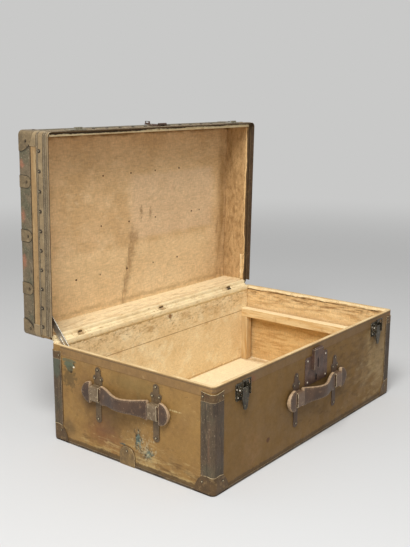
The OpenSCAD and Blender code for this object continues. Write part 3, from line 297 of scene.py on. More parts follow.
wide = 4000  # a radius that leaves a mark unbounded along that axis
looks = {
    # Linen painted with ochre oil paint: satin where rubbed, dull where worn, threads showing through.
    # The front is browner than the ends. Under-paint shows grey-green where the ochre has flaked.
    "oilPaintedCanvas": {
        "colour": "#92703f", "roughness": (0.5, 0.7), "weave": (1.6, 0.05), "ior": 1.46, "specular": 0.25,
        "stains": [("#7a5a35", 150, 0.45, 0.62, 0.55), ("#a08150", 90, 0.52, 0.7, 0.4),
                   ("#6c5030", 24, 0.58, 0.72, 0.45), ("#ad9160", 8, 0.64, 0.73, 0.5),
                   ("#4f3a24", 5, 0.66, 0.72, 0.55), ("#7e6a44", 30, 0.6, 0.74, 0.5, (1, 1, 0.25)),
                   ("#b49a66", 4, 0.66, 0.73, 0.5, (0.2, 0.2, 1)),
                   ("#4b3720", 5, 0.67, 0.74, 0.5, (0.2, 0.2, 1))],
        "marks": [
            ("#72562f", (0, -233, 115), (wide, 6, wide), 0.15, 0.92, "square"),
            ("#624a2b", (-60, -233, 110), (190, 6, 110), 0.6, 0.5, "softRound", 60),
            ("#967d57", (330, -233, 120), (170, 6, 120), 0.8, 0.75, "softRound", 40),
            ("#74492f", (-380, 70, 52), (9, 84, 50), 0.8, 0.7, "softRound", 40),
            # Painted shadow under the left handle, mixed with dirt: this patch and the next
            ("#5d4428", (-380, 112, 116), (9, 62, 62), 0.7, 0.65, "softRound", 30),
            ("#65492c", (-380, 20, 90), (9, 110, 46), 0.9, 0.5, "softRound", 26),
            ("#7d683d", (-380, -20, 186), (9, 130, 30), 0.6, 0.5, "softRound", 40),
            # Painted shadow under the left handle, mixed with dirt
            ("#59432a", (-380, 66, 92), (9, 66, 50), 0.7, 0.55, "softRound", 24),
            ("#6b4a34", (-380, 60, 64), (9, 60, 30), 2.4, 0.45, "softRound", 16, (1, 0.4, 1)),
            ("#4c3c28", (-380, 186, 40), (9, 40, 34), 0.8, 0.6, "softRound", 20),
            ("#5f5e47", (-380, 178, 199), (9, 26, 6), 0.5, 0.85, "round", 8),
            ("#57604d", (-380, 177, 190), (9, 20, 8), 0.5, 0.9, "round", 7),
            ("#525a49", (-380, 174, 181), (9, 13, 9), 0.6, 0.85, "round", 6),
            ("#55452c", (-380, 178, 160), (9, 30, 30), 1.4, 0.7, "round", 8),
            ("#2c241a", (-380, 160, 192), (9, 2, 8), 1.0, 0.95, "round", 3),
            ("#2c241a", (-380, 170, 174), (9, 5, 3), 1.2, 0.95, "round", 3),
            ("#e8dcc0", (-380, 161, 187), (9, 3.2, 2.6), 0.8, 0.95, "round", 3),
            ("#2f2920", (-380, -31, 66), (9, 13, 28), 1.7, 0.95, "round", 6, (1, 1, 0.5)),
            ("#2f2920", (-380, -60, 40), (9, 18, 18), 1.7, 0.95, "round", 6),
            ("#5e6b60", (-380, -32, 66), (9, 9, 22), 2.6, 0.95, "round", 5, (1, 1, 0.5)),
            ("#6c7767", (-380, -60, 40), (9, 14, 14), 2.8, 0.95, "round", 5),
            ("#b9ab88", (-380, -52, 48), (9, 24, 28), 6.2, 0.6, "round", 6),
            ("#3c4a48", (-380, 12, 46), (9, 12, 3), 1.2, 0.8, "round", 4),
            ("#c2aa78", (-380, -130, 157), (9, 20, 2.2), 2.0, 0.9, "round", 3),
            ("#543624", (-190, -233, 58), (9, 9, 7), 0.7, 0.8, "round", 7),
            ("#523d22", (170, -233, 120), (200, 9, 90), 4.0, 0.5, "round", 14, (0.35, 1, 1)),
            ("#a08a62", (300, -233, 90), (90, 9, 90), 4.4, 0.5, "softRound", 12, (0.35, 1, 1)),
            ("#8d6a48", (-250, -233, 60), (60, 9, 60), 1.6, 0.3, "softRound", 12),
            ("#b79c68", (-380, -60, 22), (9, 150, 26), 4.2, 0.6, "round", 9, (1, 0.2, 1)),
            ("#5b4023", (-380, -60, 26), (9, 150, 26), 4.2, 0.6, "round", 12, (1, 0.2, 1)),
            # Painted shade behind the keyhole
            ("#16110c", (0, -233, 149), (4, 3, 11), 0.05, 1, "square"),
            # Painted shadow round the edge clip in the middle of the left end
            ("#2f2114", (-380, 0, 22.5), (9, 25.4, 25.4), 0.05, 0.9, "round"),
            ("#2f2114", (-380, 0, 10), (9, 25.2, 14), 0.05, 0.9, "square"),
            # Painted shadow along the edges of the corner strips on the left end
            ("#4b3621", (-380, 201, 120), (3, 2.2, 90), 0.5, 0.85, "square"),
            ("#4b3621", (-380, -201, 120), (3, 1.8, 90), 0.5, 0.8, "square"),
            # Painted shadow round the handle brackets, on the left end and the front
            *[("#4a3723", (x, y, z), (rx, ry, rz), 0.25, 0.75, shape, 8)
              for x, y, rx, ry, level in ((-380, -84, 9, 10.5, 145.5), (-380, 84, 9, 10.5, 145.5),
                                          (-84, -233, 10.5, 9, 121), (84, -233, 10.5, 9, 121))
              for z, rz, shape in ((level - 24, 38, "square"), (level + 38, 21, "round"))],
            # Painted shadow along the edges of the corner strips on the front
            ("#45321f", (-349, -233, 120), (1.8, 3, 90), 0.5, 0.8, "square"),
            ("#45321f", (349, -233, 120), (2.0, 3, 90), 0.5, 0.8, "square"),
            ("#4b3a26", (0, 0, 8), (wide, wide, 8), 0.7, 0.75, "square"),
            ("#6b5030", (0, 0, 206.5), (wide, wide, 1.6), 0.4, 0.5, "square")],
        "grains": [(9, 0.07), (2.6, 0.07), (40, 0.05, (1, 1, 0.3))],
        "reliefs": [(140, 0.9), (22, 0.2), (3.5, 0.08)]},
    # The lid's canvas is the same paint, cleaner
    "paleOilPaintedCanvas": {
        "onLid": True,
        "colour": "#9b7d55", "roughness": (0.5, 0.7), "weave": (1.6, 0.05), "ior": 1.46, "specular": 0.3,
        "stains": [("#846843", 60, 0.42, 0.65, 0.6, (1, 0.3, 1)),
                   ("#b59c72", 16, 0.52, 0.7, 0.6, (1, 0.25, 1)), ("#6a5232", 7, 0.6, 0.7, 0.6, (1, 0.3, 1))],
        # Dark lines painted as shade where the valance and the binding overlap the canvas
        "marks": [("#2b2218", (0, 0, 280), (wide, wide, 1.6), 0.3, 0.95, "square"),
                  ("#3a2e20", (0, 0, 260), (wide, wide, 1.3), 0.3, 0.85, "square")],
        "grains": [(9, 0.08), (3, 0.08)],
        "reliefs": [(140, 0.9), (22, 0.2)]},
    # Painted cloth band, a shade browner than the walls, rusted red by the left catch and at the right
    "wornBandCloth": {
        "colour": "#8b6b40", "roughness": (0.5, 0.7), "weave": (1.6, 0.05), "specular": 0.35,
        "stains": [("#7a5c38", 60, 0.42, 0.6, 0.5), ("#a0845c", 14, 0.58, 0.7, 0.5),
                   ("#5a4430", 5, 0.63, 0.71, 0.55)],
        "marks": [("#6f5432", (0, -233, 215), (wide, 6, wide), 0.15, 0.85, "square"),
                  ("#5c4630", (-380, -233, 212), (24, 24, 9), 0.6, 0.7, "round", 9),
                  ("#5b4630", (-376, 190, 215), (12, 50, 9), 1.2, 0.6, "softRound", 12),
                  ("#7a4a30", (-252, -234, 212), (14, 30, 10), 1.2, 0.6, "round", 5),
                  ("#8a5638", (372, -234, 216), (12, 30, 9), 1.1, 0.8, "round", 5),
                  ("#5d4a33", (0, 0, 225.4), (wide, wide, 1.5), 0.6, 0.7, "square"),
                  # Painted highlight along the band's top edge
                  ("#b59668", (0, 0, 229), (wide, wide, 1.3), 0.5, 0.75, "square")],
        "grains": [(8, 0.08), (2.6, 0.07)],
        "reliefs": [(18, 0.2)]},
    # Linen-faced paper glued to the boards: matt cream, tan and brown where damp or handled
    "linenPaper": {
        "colour": "#e9d0a3", "roughness": (0.8, 0.95), "weave": (2.4, 0.05), "specular": 0.15,
        "stains": [("#d6b582", 80, 0.45, 0.62, 0.45), ("#f4e6c2", 34, 0.5, 0.66, 0.5),
                   ("#bd9661", 14, 0.6, 0.72, 0.35, (0.4, 0.4, 1.6)), ("#a07841", 6, 0.66, 0.73, 0.45),
                   ("#6f4d29", 3.5, 0.71, 0.77, 0.7)],
        # The right wall is painted darker than the others, darker again lower down
        "marks": [("#cfaa74", (371, 0, 110), (5, wide, wide), 0.1, 0.75, "square"),
                  ("#bd935a", (371, 0, 74), (5, wide, 68), 0.1, 0.6, "square"),
                  ("#a67c46", (371, 0, 80), (5, wide, 66), 3.6, 0.5, "square", 12, (1, 0.12, 1)),
                  ("#dcbc86", (371, 0, 80), (5, wide, 66), 4.2, 0.5, "square", 9, (1, 0.15, 1)),
                  ("#cba66e", (0, 232, 196), (wide, 9, 36), 0.2, 0.4, "softSquare"),
                  ("#a57e48", (0, 232, 198), (wide, 9, 34), 4.0, 0.6, "softSquare", 16, (0.4, 1, 1)),
                  ("#7d5a31", (0, 232, 206), (wide, 9, 20), 5.2, 0.6, "softSquare", 7, (0.5, 1, 1)),
                  ("#8b6234", (0, 232, 158), (wide, 60, 1.3), 0.8, 0.7, "square", 10),
                  ("#7f5930", (-12, 223, 219), (8, 6, 6), 0.9, 0.9, "round", 4),
                  ("#7f5930", (20, 223, 208), (10, 6, 7), 0.9, 0.85, "round", 4),
                  ("#9a7344", (371, 20, 198), (5, wide, 26), 4.0, 0.6, "softSquare", 9, (1, 0.15, 1)),
                  ("#70502d", (371, 20, 208), (5, wide, 15), 5.2, 0.65, "softSquare", 5, (1, 0.2, 1)),
                  ("#ead0a0", (371, 20, 190), (5, wide, 26), 4.4, 0.5, "square", 12, (1, 0.2, 1)),
                  ("#5f4225", (371, 0, 219), (5, wide, 1.7), 1.5, 0.85, "square", 22),
                  ("#a98250", (0, 223, 12), (wide, 6, 6), 0.9, 0.6, "round", 7),
                  # Painted light: the floor is paler than the walls, as it faces the light from above
                  ("#f3e4bd", (0, 0, 11), (wide, wide, 1.2), 0.05, 0.8, "square"),
                  ("#d9bd8a", (-60, 40, 11), (190, 160, 3), 1.2, 0.45, "softRound", 60),
                  # Painted shadow on the floor of the right-hand recess
                  ("#a4804f", (352, 0, 11), (26, wide, 3), 0.8, 0.7, "softSquare", 20)],
        "grains": [(3.2, 0.09, (0.35, 1, 1)), (2.6, 0.09, (1, 1, 0.3))],
        "reliefs": [(60, 0.4), (4, 0.08)]},
    # The lid's lining is the same paper, browned towards the top and the right, paler lower down
    "stainedLinenPaper": {
        "colour": "#d6b487", "roughness": (0.8, 0.95), "weave": (2.4, 0.05), "specular": 0.15,
        "stains": [("#bf9a6a", 110, 0.42, 0.6, 0.55), ("#e3c69a", 60, 0.5, 0.66, 0.45),
                   ("#a38050", 18, 0.58, 0.7, 0.4, (0.5, 1, 1.6)),
                   ("#ead3aa", 12, 0.6, 0.7, 0.35, (0.4, 1, 1)), ("#7b5932", 4, 0.69, 0.76, 0.7)],
        "marks": [("#bb9a72", (0, 300, 690), (wide, 60, 90), 0.5, 0.25, "softSquare", 70),
                  ("#b5936a", (0, 300, 640), (wide, 60, 52), 0.25, 0.15, "square", 60),
                  ("#e9cb9c", (-20, 310, 318), (352, 60, 88), 0.15, 0.55, "square", 40),
                  ("#eed4a8", (60, 310, 280), (190, 60, 60), 0.8, 0.5, "softRound", 60),
                  ("#d9bb96", (136, 307, 494), (186, 12, 92), 0.06, 0.62, "square", 30),
                  ("#a8875a", (352, 310, 460), (34, 90, 300), 0.6, 0.75, "softSquare", 20, (1, 1, 0.3)),
                  ("#8c683c", (352, 310, 460), (26, 90, 300), 4.0, 0.5, "softSquare", 14, (1, 1, 0.25)),
                  ("#a8865a", (371, 270, 460), (5, 90, wide), 0.1, 0.8, "square"),
                  ("#c4a273", (371, 268, 460), (5, 60, wide), 4.0, 0.6, "square", 16, (1, 1, 0.3)),
                  ("#7a5a34", (371, 272, 460), (9, 60, 260), 4.4, 0.55, "softSquare", 10, (1, 1, 0.5)),
                  ("#7f5d34", (0, 303, 684), (wide, 30, 9), 1.2, 0.9, "softSquare", 14, (0.4, 1, 1)),
                  ("#8f7047", (0, 310, 256), (wide, 30, 10), 1.6, 0.4, "softSquare", 12, (0.4, 1, 1)),
                  ("#755431", (4, 307, 478), (8, 12, 26), 1.4, 0.8, "softRound", 6),
                  ("#7b5b37", (40, 308, 474), (7, 12, 30), 1.6, 0.6, "softRound", 6),
                  ("#a5825a", (36, 308, 512), (22, 12, 9), 1.2, 0.3, "softRound", 9)]
        + [("#937149", (-24 - i * 8, 310, 420 - i * 36), (26 - i * 2, 12, 34), 0.8, 0.65, "softRound", 14)
           for i in range(6)]
        + [("#6f4f2d", (-34 - i * 8, 310, 410 - i * 36), (3, 12, 26), 1.4, 0.6, "softRound", 6, (1, 1, 0.3))
           for i in range(6)]
        + [("#c09272", (131, 307, 533), (16, 12, 9), 1.2, 0.4, "softRound", 7),
           ("#ecd8ae", (0, 290, 242.5), (wide, 62, 3), 0.05, 0.85, "square"),
           ("#b08a58", (0, 262, 242.5), (wide, 40, 3), 4.6, 0.45, "softSquare", 8, (0.2, 1, 1)),
           ("#ecd8ae", (0, 226, 691), (wide, 3, 6), 0.05, 0.8, "square")]
        + [("#3f3022", (372, 239 - 2.05 * i, 275 + 90 * i), (6, 3.2, 60), 0.5, 0.85, "square", 8)
           for i in range(5)],
        "grains": [(3.6, 0.11, (0.25, 1, 1)), (2.8, 0.10, (1, 1, 0.35))],
        "reliefs": [(30, 0.4), (5, 0.2)]},
    # Linen strip that covers the joint of the two linings, creased and rust-marked at the hinges
    "jointLinen": {
        "colour": "#ead6ab", "roughness": (0.8, 0.95), "weave": (2.0, 0.05), "specular": 0.15,
        "stains": [("#d3b483", 40, 0.45, 0.62, 0.5), ("#a77f4c", 7, 0.6, 0.7, 0.65, (0.4, 1, 1)),
                   ("#5b3f24", 3.5, 0.69, 0.75, 0.75)],
        "marks": [("#8a6238", (x, 236, 233), (34, 9, 7), 1.8, 0.6, "softRound", 7) for x in (-290, 0, 290)],
        "grains": [(4, 0.09, (0.3, 1, 1))],
        "reliefs": [(6, 0.15)]},
    # Vulcanised fibre: hard, grey-brown, its face rubbed through to pale flecks
    "vulcanisedFibre": {
        "colour": "#5a4935", "roughness": (0.5, 0.72), "specular": 0.35,
        "stains": [("#3f3427", 40, 0.42, 0.6, 0.65, (1, 1, 0.3)),
                   ("#756147", 14, 0.54, 0.68, 0.6, (1, 1, 0.3)), ("#4d4836", 60, 0.46, 0.6, 0.65),
                   ("#2c231b", 9, 0.52, 0.64, 0.7, (1, 1, 0.12)),
                   ("#80694f", 6, 0.58, 0.68, 0.6, (1, 1, 0.12)),
                   ("#98866e", 3.2, 0.6, 0.69, 0.75, (1, 1, 0.6)),
                   ("#2c241c", 3.4, 0.6, 0.68, 0.75, (1, 1, 0.6))],
        "marks": [("#3f3127", (0, -237, 115), (450, 4.6, wide), 0.1, 0.55, "square"),
                  ("#6d4e39", (-383, -222, 115), (5, 4, 92), 1.2, 0.6, "softRound", 6, (1, 1, 0.15)),
                  ("#2b221a", (-381, -234, 115), (3.4, 3.4, wide), 0.6, 0.8, "square", 6, (1, 1, 0.2)),
                  ("#4f5546", (-382, 219, 180), (6, 17, 34), 0.7, 0.7, "round", 14)],
        "grains": [(2.4, 0.14, (1, 1, 0.7)), (8, 0.08)],
        "reliefs": [(9, 0.2), (2, 0.12)]},
    "scuffedFibreEdge": {
        "colour": "#8d7a5e", "roughness": (0.5, 0.7), "specular": 0.35,
        "stains": [("#5d4b3a", 9, 0.45, 0.58, 0.85), ("#b09c7a", 4, 0.55, 0.68, 0.7)]},
    # The valance is paler fibre with a green cast; dark lines beside its ridges are painted shade in its
    # grooves
    "greyFibre": {
        "onLid": True,
        "colour": "#8d7858", "roughness": (0.48, 0.68), "specular": 0.35,
        "stains": [("#6c5d45", 60, 0.42, 0.6, 0.6), ("#a18e6c", 20, 0.52, 0.68, 0.5),
                   ("#a99877", 4, 0.61, 0.71, 0.55), ("#3f3526", 4, 0.64, 0.72, 0.6)],
        "marks": [("#2a2117", (0, 0, 229 + z), (wide, wide, 1.6), 0.3, share, "square")
                  for z, share in ((-3.9, 0.7), (-0.2, 0.7), (3.3, 0.85), (6.9, 1), (24.2, 0.95), (28, 0.95))]
        # Painted light: the valance's front is paler, as it faces up when the lid is open
        + [("#9c8c70", (0, -237, 240), (wide, 5, wide), 0.6, 0.5, "square")],
        "grains": [(2.6, 0.12), (9, 0.08)],
        "reliefs": [(12, 0.2), (2, 0.08)]},
    # Rubbed fibre edges, painted paler as highlight too
    "wornFibreEdgeAndHighlight": {
        "colour": "#b3a386", "roughness": (0.45, 0.65), "specular": 0.35,
        "stains": [("#665740", 12, 0.48, 0.62, 0.8)]},
    # Rims that face the other half: handled and dark, painted darker still as the shade they lie in
    "grimedFibreEdgeAndShade": {
        "colour": "#4c3b2a", "roughness": (0.5, 0.7), "specular": 0.35,
        "stains": [("#34281c", 30, 0.42, 0.6, 0.6), ("#6e5a41", 9, 0.56, 0.68, 0.6)],
        "grains": [(3, 0.12)]},
    # Binding on the lid's edge: the same fibre gone grey-green, flaking brown
    "greenFibre": {
        "onLid": True,
        "colour": "#6b5d48", "roughness": (0.55, 0.75), "specular": 0.3,
        "stains": [("#545340", 44, 0.42, 0.56, 0.7), ("#85745a", 15, 0.52, 0.68, 0.55),
                   ("#4a3a2c", 10, 0.56, 0.68, 0.6), ("#aa9b83", 3.5, 0.6, 0.68, 0.7),
                   ("#2f271d", 5, 0.6, 0.68, 0.75)],
        # Painted shadow round the lid's corner caps and edge clips
        "marks": [("#1d160e", (x, y, 315), [radius] * 3, 0.05, 1, "round")
                  for x in (-380, 380) for y, radius in ((-233, 51), (233, 45))]
        + [("#1d160e", (x, y, z), (30, 16.4, depth), 0.05, 1, shape) for x in (-380, 380)
           for y in (-122, 0, 122) for z, depth, shape in ((306, 11.6, "square"), (294.3, 16.4, "round"))]
        + [("#a0674e", (-380, y, 309), (16, reach, 12), 0.9, 0.72, "softRound", 6)
           for y, reach in ((-161, 17), (-46, 21), (60, 25))],
        "grains": [(3, 0.14), (10, 0.08)],
        "reliefs": [(8, 0.25), (2, 0.1)]},
    # Bottom binding: fibre darkened by the floor
    "blackenedFibre": {
        "colour": "#4a3d2e", "roughness": (0.55, 0.75), "specular": 0.3,
        "stains": [("#76603f", 16, 0.54, 0.68, 0.7), ("#2c241b", 30, 0.5, 0.65, 0.6)],
        "grains": [(3, 0.12)],
        "reliefs": [(8, 0.2)]},
    # Stamped steel under brown stoving lacquer, near the canvas colour, thinned on its faces
    "brownLacqueredSteel": {
        "colour": "#5a4429", "roughness": (0.42, 0.6), "metallic": 0.1, "specular": 0.35,
        "stains": [("#47351f", 22, 0.42, 0.6, 0.6), ("#866d48", 9, 0.54, 0.67, 0.65),
                   ("#a48d69", 3, 0.64, 0.73, 0.65), ("#633f29", 12, 0.6, 0.72, 0.5)],
        "grains": [(3, 0.10), (10, 0.07)],
        "reliefs": [(14, 0.3), (3, 0.1)]},
    "rubbedLacquerEdge": {
        "colour": "#b59c74", "roughness": (0.32, 0.5), "metallic": 0.3,
        "stains": [("#5e4a33", 8, 0.5, 0.6, 0.85), ("#d2bd97", 3, 0.55, 0.66, 0.7)]},
    # Beads rolled on the caps' edges, rubbed bright and painted brighter still as highlight
    "polishedBeadAndHighlight": {
        "colour": "#c0aa82", "roughness": (0.35, 0.5), "metallic": 0.3,
        "stains": [("#6a543a", 9, 0.5, 0.62, 0.9)]},
    # Lid caps and clips: the lacquer gone grey, their edges painted dark as shade
    "greyLacqueredSteel": {
        "colour": "#776549", "roughness": (0.42, 0.6), "metallic": 0.1, "specular": 0.4,
        "stains": [("#5b4d39", 20, 0.44, 0.62, 0.6), ("#94815f", 9, 0.54, 0.67, 0.6),
                   ("#a4937a", 3, 0.62, 0.71, 0.65), ("#3a3024", 5, 0.62, 0.7, 0.65)],
        "grains": [(3, 0.12), (10, 0.07)],
        "reliefs": [(14, 0.3), (3, 0.1)]},
    "shadedSteelEdge": {
        "colour": "#2b2319", "roughness": (0.5, 0.7), "metallic": 0.1, "specular": 0.3,
        "stains": [("#594a36", 7, 0.6, 0.7, 0.7)]},
    # Clips on the base's lower edge: the same lacquer, nearer ochre
    "ochreLacqueredSteel": {
        "colour": "#82683f", "roughness": (0.4, 0.6), "metallic": 0.1, "specular": 0.4,
        "stains": [("#57432a", 14, 0.42, 0.6, 0.65), ("#957b52", 6, 0.56, 0.7, 0.6)],
        "grains": [(3, 0.10)],
        "reliefs": [(9, 0.2)]},
    # Lock steel gone rust brown, handled smooth
    "rustBrownSteel": {
        "colour": "#584034", "roughness": (0.38, 0.58), "metallic": 0.2,
        "stains": [("#3c2c24", 18, 0.42, 0.6, 0.7), ("#735a49", 7, 0.55, 0.68, 0.6, (1, 1, 0.4)),
                   ("#8e7767", 2.5, 0.62, 0.7, 0.6), ("#5f5238", 10, 0.6, 0.72, 0.5)],
        # Painted shade in the housing's slot and in the keyhole
        "marks": [("#1f1712", (-4, -241, 185.5), (3, 4, 12.6), 0.2, 0.9, "square"),
                  ("#1f1712", (0, -235, 149), (3.8, 3, 9), 0.2, 0.85, "square")],
        "grains": [(3, 0.12, (1, 1, 0.4))],
        "reliefs": [(5, 0.15)]},
    # Rubbed steel edges, painted paler as highlight too
    "rubbedSteelEdgeAndHighlight": {
        "colour": "#bba98f", "roughness": (0.28, 0.42), "metallic": 0.5,
        "stains": [("#584034", 7, 0.5, 0.62, 0.85)]},
    "lockHollow": {  # the unlit, oily inside of the lock
        "colour": "#1d1612", "roughness": (0.6, 0.8), "specular": 0.1,
        "stains": [("#2b211a", 8, 0.5, 0.6, 0.6)]},
    # Nail heads: steel or brass, crowns polished by wear and painted paler as highlight, skirts grimed
    "wornNailSteel": {
        "colour": "#e2d8c6", "roughness": (0.22, 0.38), "metallic": 0.55,
        "stains": [("#a89878", 3, 0.56, 0.66, 0.6)]},
    "tarnishedNailSteel": {
        "colour": "#6a5638", "roughness": (0.35, 0.5), "metallic": 0.4,
        "stains": [("#3f3120", 4, 0.46, 0.6, 0.8)]},
    "blackNailSteel": {
        "colour": "#352b1f", "roughness": (0.3, 0.45), "metallic": 0.4,
        "stains": [("#57482f", 3, 0.56, 0.66, 0.7)]},
    "dullNailCrown": {
        "colour": "#b9a987", "roughness": (0.25, 0.4), "metallic": 0.5,
        "stains": [("#5d4d34", 3, 0.5, 0.62, 0.8)]},
    "rustedTack": {
        "colour": "#5a3a22", "roughness": (0.7, 0.9), "specular": 0.2,
        "stains": [("#33200f", 2, 0.5, 0.6, 0.8), ("#8d5f35", 1.5, 0.6, 0.7, 0.7)]},
    # Catch steel: dark and oily, bright on its rubbed edges, which are painted brighter still as highlight
    "darkSteel": {
        "colour": "#4f4839", "roughness": (0.26, 0.42), "metallic": 0.6,
        "stains": [("#2c2821", 12, 0.42, 0.6, 0.75), ("#8f856c", 5, 0.58, 0.68, 0.7),
                   ("#6f4b33", 6, 0.6, 0.7, 0.6)],
        "grains": [(3, 0.12)],
        "reliefs": [(4, 0.08)]},
    "strikeSteel": {  # strike plates: the same steel, painted paler as the light on the lid's upturned front
        "colour": "#8a826b", "roughness": (0.28, 0.44), "metallic": 0.4,
        "stains": [("#4b4537", 9, 0.46, 0.62, 0.7), ("#bdb59c", 5, 0.56, 0.68, 0.7)],
        "grains": [(3, 0.10)], "reliefs": [(4, 0.08)]},
    # Rubbed steel edges, painted bright as highlight too
    "brightSteelEdge": {
        "colour": "#dcd5c4", "roughness": (0.3, 0.45), "metallic": 0.3,
        "stains": [("#6f6653", 5, 0.56, 0.66, 0.8)]},
    # Stay: nickelled strip, dull
    "dullNickel": {
        "colour": "#9c8f7c", "roughness": (0.3, 0.45), "metallic": 0.5,
        "stains": [("#5d5346", 20, 0.45, 0.62, 0.7), ("#4a3d2e", 5, 0.6, 0.7, 0.6)],
        "grains": [(3, 0.10, (1, 1, 0.5))],
        "reliefs": [(6, 0.06)]},
    "hingeSteel": {
        "colour": "#4a4033", "roughness": (0.4, 0.6), "metallic": 0.4,
        "stains": [("#33291e", 12, 0.42, 0.6, 0.7), ("#7d6a50", 5, 0.58, 0.7, 0.6)],
        # Pale rust on the knuckles of the left and middle hinges, painted paler still as light on them
        "marks": [("#d0b183", (x, 237, 229), (60, 60, 60), 1.2, 0.9, "round", 5) for x in (-290, 0)],
        "reliefs": [(5, 0.1)]},
    # Bracket plates: lacquered steel near the canvas colour, chipped; the front pair is darker
    "chippedBracketSteel": {
        "colour": "#67533a", "roughness": (0.4, 0.6), "metallic": 0.15, "specular": 0.4,
        "stains": [("#4a3a28", 14, 0.42, 0.6, 0.6), ("#8d7854", 5, 0.57, 0.68, 0.6),
                   ("#a08c66", 2.5, 0.64, 0.72, 0.6)],
        "marks": [("#4a372a", (0, -236, 121), (wide, 8, wide), 0.1, 0.85, "square")],
        "grains": [(3, 0.12)],
        "reliefs": [(6, 0.12)]},
    # Bracket edges painted dark as shade
    "bracketEdge": {
        "colour": "#4b3b2a", "roughness": (0.4, 0.55), "metallic": 0.2,
        "stains": [("#8f7b59", 4, 0.56, 0.66, 0.8)]},
    # Loops: lacquer rubbed through by hands to pale metal; the pale patches and edges are painted paler still
    # as highlight
    "handRubbedSteelAndHighlight": {
        "colour": "#77644b", "roughness": (0.34, 0.5), "metallic": 0.25,
        "stains": [("#594632", 16, 0.42, 0.6, 0.6), ("#c0ab8a", 8, 0.52, 0.66, 0.6)],
        "marks": [("#684f3e", (0, -246, 121), (wide, 16, wide), 0.1, 0.75, "square")],
        "grains": [(3, 0.10)],
        "reliefs": [(6, 0.08)]},
    "polishedLoopEdgeAndHighlight": {
        "colour": "#b9a88a", "roughness": (0.3, 0.45), "metallic": 0.3,
        "stains": [("#6d5a42", 7, 0.5, 0.62, 0.85)]},
    # Softwood boards: cream to tan, darkened by dust. Grain runs up the posts and along the rails.
    "sawnSoftwood": {
        "colour": "#dabf90", "roughness": (0.65, 0.85), "specular": 0.25,
        "stains": [("#bd9357", 5, 0.46, 0.62, 0.55, (0.06, 0.06, 1)), ("#edd6a6", 30, 0.5, 0.66, 0.5),
                   ("#8b673c", 8, 0.64, 0.74, 0.5)],
        "grains": [(3, 0.08, (1, 0.1, 1))],
        "reliefs": [(3, 0.08, (0.06, 0.06, 1))]},
    "softwoodPost": {
        "colour": "#c3a679", "roughness": (0.65, 0.85), "specular": 0.25,
        "stains": [("#b58748", 4, 0.46, 0.6, 0.65, (1, 1, 0.05)),
                   ("#ecd3a2", 9, 0.52, 0.66, 0.5, (1, 1, 0.1)), ("#7c5930", 5, 0.66, 0.74, 0.6)],
        "reliefs": [(2.5, 0.12, (1, 1, 0.05))]},
    "softwoodRail": {
        "colour": "#d8bc8c", "roughness": (0.65, 0.85), "specular": 0.25,
        "stains": [("#bf9153", 4, 0.46, 0.6, 0.6, (1, 0.05, 1)), ("#f2dcae", 9, 0.52, 0.66, 0.5, (1, 0.1, 1)),
                   ("#7c5930", 5, 0.66, 0.74, 0.6), ("#a17744", 26, 0.56, 0.68, 0.5)],
        # Painted light: the rails' top faces are paler, lit from above
        "marks": [("#f6e4ba", (0, 0, 166.2), (wide, wide, 1.5), 0.2, 0.8, "square")],
        "reliefs": [(2.5, 0.12, (1, 0.05, 1))]},
    # The lid's board edges, all that shows of them: handled and dark, painted darker still as the shade under
    # the valance's lip
    "grimedBoardEdge": {
        "colour": "#4f3d29", "roughness": (0.6, 0.8), "specular": 0.2,
        "stains": [("#382a1c", 20, 0.45, 0.6, 0.6), ("#7b6240", 7, 0.58, 0.7, 0.6, (0.3, 1, 0.3))],
        "grains": [(3, 0.14)]},
    "blackenedWearCloth": {
        "colour": "#6d5a3c", "roughness": (0.6, 0.8), "weave": (1.6, 0.05),
        "stains": [("#54452e", 60, 0.42, 0.6, 0.7), ("#7d6a4a", 12, 0.56, 0.7, 0.5)],
        "grains": [(4, 0.10)]},
}
finishes = {name: makeFinish(name, look) for name, look in looks.items()}
print("finishes made:", len(finishes))


def camel(name):
    first, *rest = name.split("_")
    return first + "".join(word.title() for word in rest)


def newPiece(name, mesh, *chosen):
    piece = bpy.data.objects.new(name, mesh)
    bpy.context.scene.collection.objects.link(piece)
    mesh.materials.clear()
    for finish in chosen:
        mesh.materials.append(finishes[finish])
    return piece


def bakeShape(piece):  # a plain mesh in place of the modifiers
    bpy.context.view_layer.update()
    plain = bpy.data.meshes.new_from_object(piece.evaluated_get(bpy.context.evaluated_depsgraph_get()))
    piece.modifiers.clear()
    piece.data = plain


def settle(piece, node, *replaced):  # body of a CAD node, and the nodes that the piece stands for
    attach(piece, bodyOf[node])
    if replaced:
        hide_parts(*replaced)


def skin(shape, rows, closed=False):  # faces between rows of vertices, and over the ends of a closed tube
    for a, b in zip(rows, rows[1:]):
        for i in range(len(a) if closed else len(a) - 1):
            j = (i + 1) % len(a)
            shape.faces.new((a[i], a[j], b[j], b[i]))
    if closed:
        shape.faces.new(rows[0])
        shape.faces.new(rows[-1][::-1])


def meshOf(shape, name):
    bmesh.ops.recalc_face_normals(shape, faces=shape.faces)
    for face in shape.faces:
        face.smooth = True
    mesh = bpy.data.meshes.new(name)
    shape.to_mesh(mesh)
    shape.free()
    return mesh


def thicken(piece, thickness):
    wall = piece.modifiers.new("clothThickness", "SOLIDIFY")
    wall.thickness = thickness * mm
    wall.offset = 0
    bakeShape(piece)


# Faces and edges are kept as dictionary keys, which hold their order, so that each run gives the same mesh
def takeJoined(left, nextTo):  # takes out of left all that hangs together with its first key
    group = [next(iter(left))]
    del left[group[0]]
    for item in group:
        for other in nextTo(item):
            if other in left:
                del left[other]
                group.append(other)
    return group


def facesNextTo(face):
    return [other for edge in face.edges for other in edge.link_faces]


def edgesNextTo(edge):
    return [other for vert in edge.verts for other in vert.link_edges]


